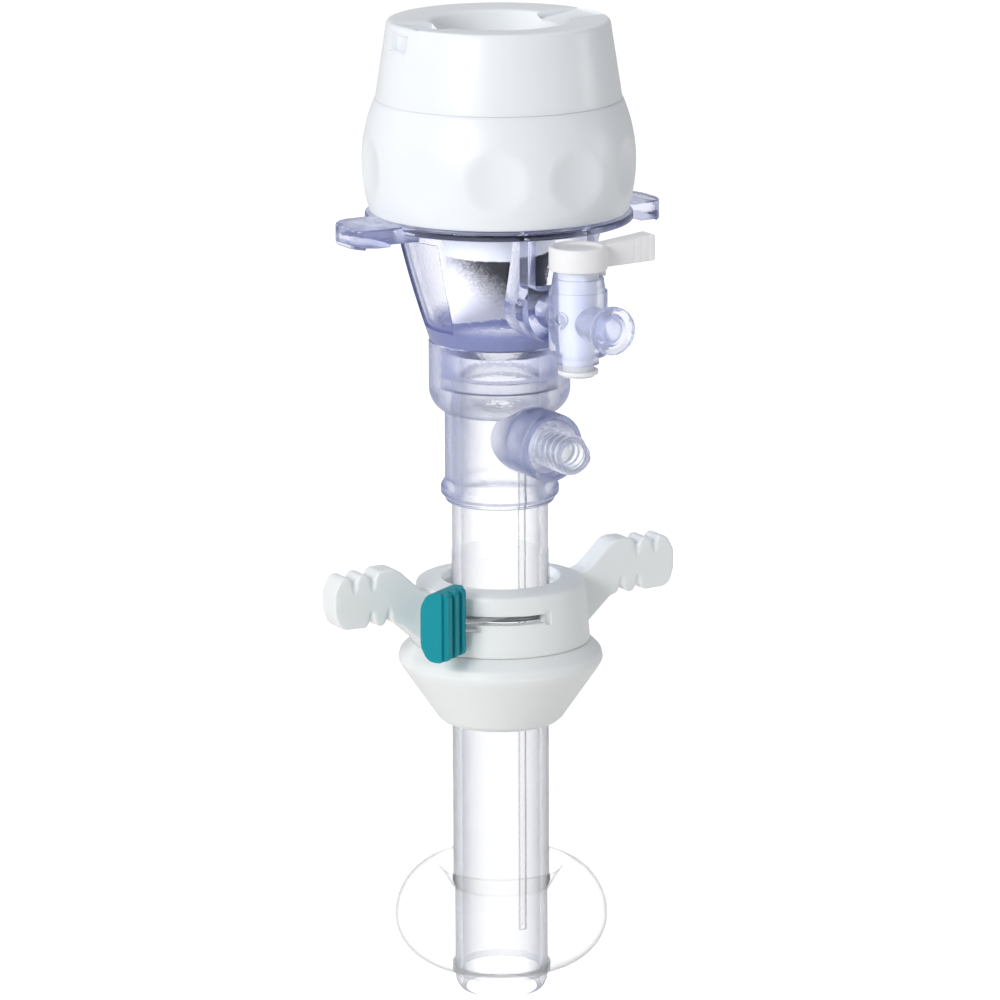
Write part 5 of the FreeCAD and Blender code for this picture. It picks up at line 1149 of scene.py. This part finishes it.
# %% The background
def seen_or_through(tree):
    """A value that is 1 for rays from the camera and for rays that went through clear plastic."""
    path = added(tree, "LightPath")
    return combined(tree, path.outputs["Is Camera Ray"], path.outputs["Is Transmission Ray"], "MAXIMUM")


FILL_STRENGTH = 0.45
world = bpy.data.worlds.new("studio")
bpy.context.scene.world = world
world.use_nodes = True
tree = world.node_tree
tree.nodes.clear()
fill = added(tree, "Background", {"Color": (0.93, 0.96, 1.0, 1), "Strength": FILL_STRENGTH})
clean = added(tree, "Background", {"Color": (1, 1, 1, 1), "Strength": 1.0})
backdrop = blended(tree, seen_or_through(tree), fill.outputs[0], clean.outputs[0])
added(tree, "OutputWorld", links={"Surface": backdrop})
print("world:", world.name)

# %% [markdown]
# The floor is one wide square just under the tip. It could be painted a brighter white, but then it
# would light the object, so it glows a little for the eye alone.

# %% The floor
FLOOR_HALF = 3.0
FLOOR_DROP = 0.0002
FLOOR_GLOW = 0.6
floor_mesh = bpy.data.meshes.new("floor")
corners = [(x * FLOOR_HALF, y * FLOOR_HALF, 0) for x, y in ((-1, -1), (1, -1), (1, 1), (-1, 1))]
floor_mesh.from_pydata(corners, [], [(0, 1, 2, 3)])
floor = bpy.data.objects.new("floor", floor_mesh)
floor.location.z = -FLOOR_DROP
bpy.context.collection.objects.link(floor)
floor_paint, tree, output, principled = shader("floor_white", {
    "Base Color": (0.97, 0.94, 0.905, 1), "Roughness": 0.9})
glow = added(tree, "Emission", {"Strength": FLOOR_GLOW})
lifted = added(tree, "AddShader", links={0: principled.outputs[0], 1: glow.outputs[0]})
surface = blended(tree, seen_or_through(tree), principled.outputs[0], lifted.outputs[0])
tree.links.new(surface, output.inputs["Surface"])
floor_mesh.materials.append(floor_paint)
print("floor: %.0f m wide" % (2 * FLOOR_HALF))

# %% [markdown]
# A large soft key on the left shapes the cap, a wide lamp lights the top, and a small one on the right
# gives the clear parts thin bright lines. One bare lamp would leave hard shadows in the soft hollows.


# %% The lamps
def lamp(name, place, target, size, watts):
    """A soft square lamp that looks at a target."""
    light = bpy.data.lights.new(name, "AREA")
    light.shape = "SQUARE"
    light.size = size
    light.energy = watts
    thing = bpy.data.objects.new(name, light)
    thing.location = place
    way = Vector(target) - Vector(place)
    thing.rotation_euler = way.to_track_quat("-Z", "Y").to_euler()
    bpy.context.collection.objects.link(thing)
    print("%-6s %.2f W" % (name, watts))


MIDDLE = (0, 0, 0.09)
lamp("key", (-0.85, -0.45, 0.45), MIDDLE, 0.35, 5.15)
lamp("top", (-0.2, 0.3, 0.9), MIDDLE, 0.5, 2.0)
lamp("strip", (0.75, -0.35, 0.2), MIDDLE, 0.12, 0.5)

# %% [markdown]
# ## The camera
# The photograph was taken from slightly above with a long lens, which keeps upright edges upright. The
# angles and the lens were fitted to the flange, the wings and the luer.

# %% The camera
AZIMUTH = math.radians(-29)
ELEVATION = math.radians(13.2)
ROLL = math.radians(-0.2)
DISTANCE = 1.0
LENS = 217
AIM = Vector((0, 0, 0.0842))
toward = Vector((math.cos(ELEVATION) * math.sin(AZIMUTH), -math.cos(ELEVATION) * math.cos(AZIMUTH),
                 math.sin(ELEVATION)))
lens = bpy.data.cameras.new("camera")
lens.sensor_width = 36
lens.lens = LENS
lens.clip_start = 0.01
camera = bpy.data.objects.new("camera", lens)
camera.location = AIM + toward * DISTANCE
camera.rotation_euler = ((-toward).to_track_quat("-Z", "Y").to_matrix()
                         @ Matrix.Rotation(ROLL, 3, "Z")).to_euler()
bpy.context.collection.objects.link(camera)
bpy.context.scene.camera = camera
bpy.context.scene.view_settings.view_transform = "Standard"
print("camera at %.2f m with a %d mm lens" % (DISTANCE, LENS))
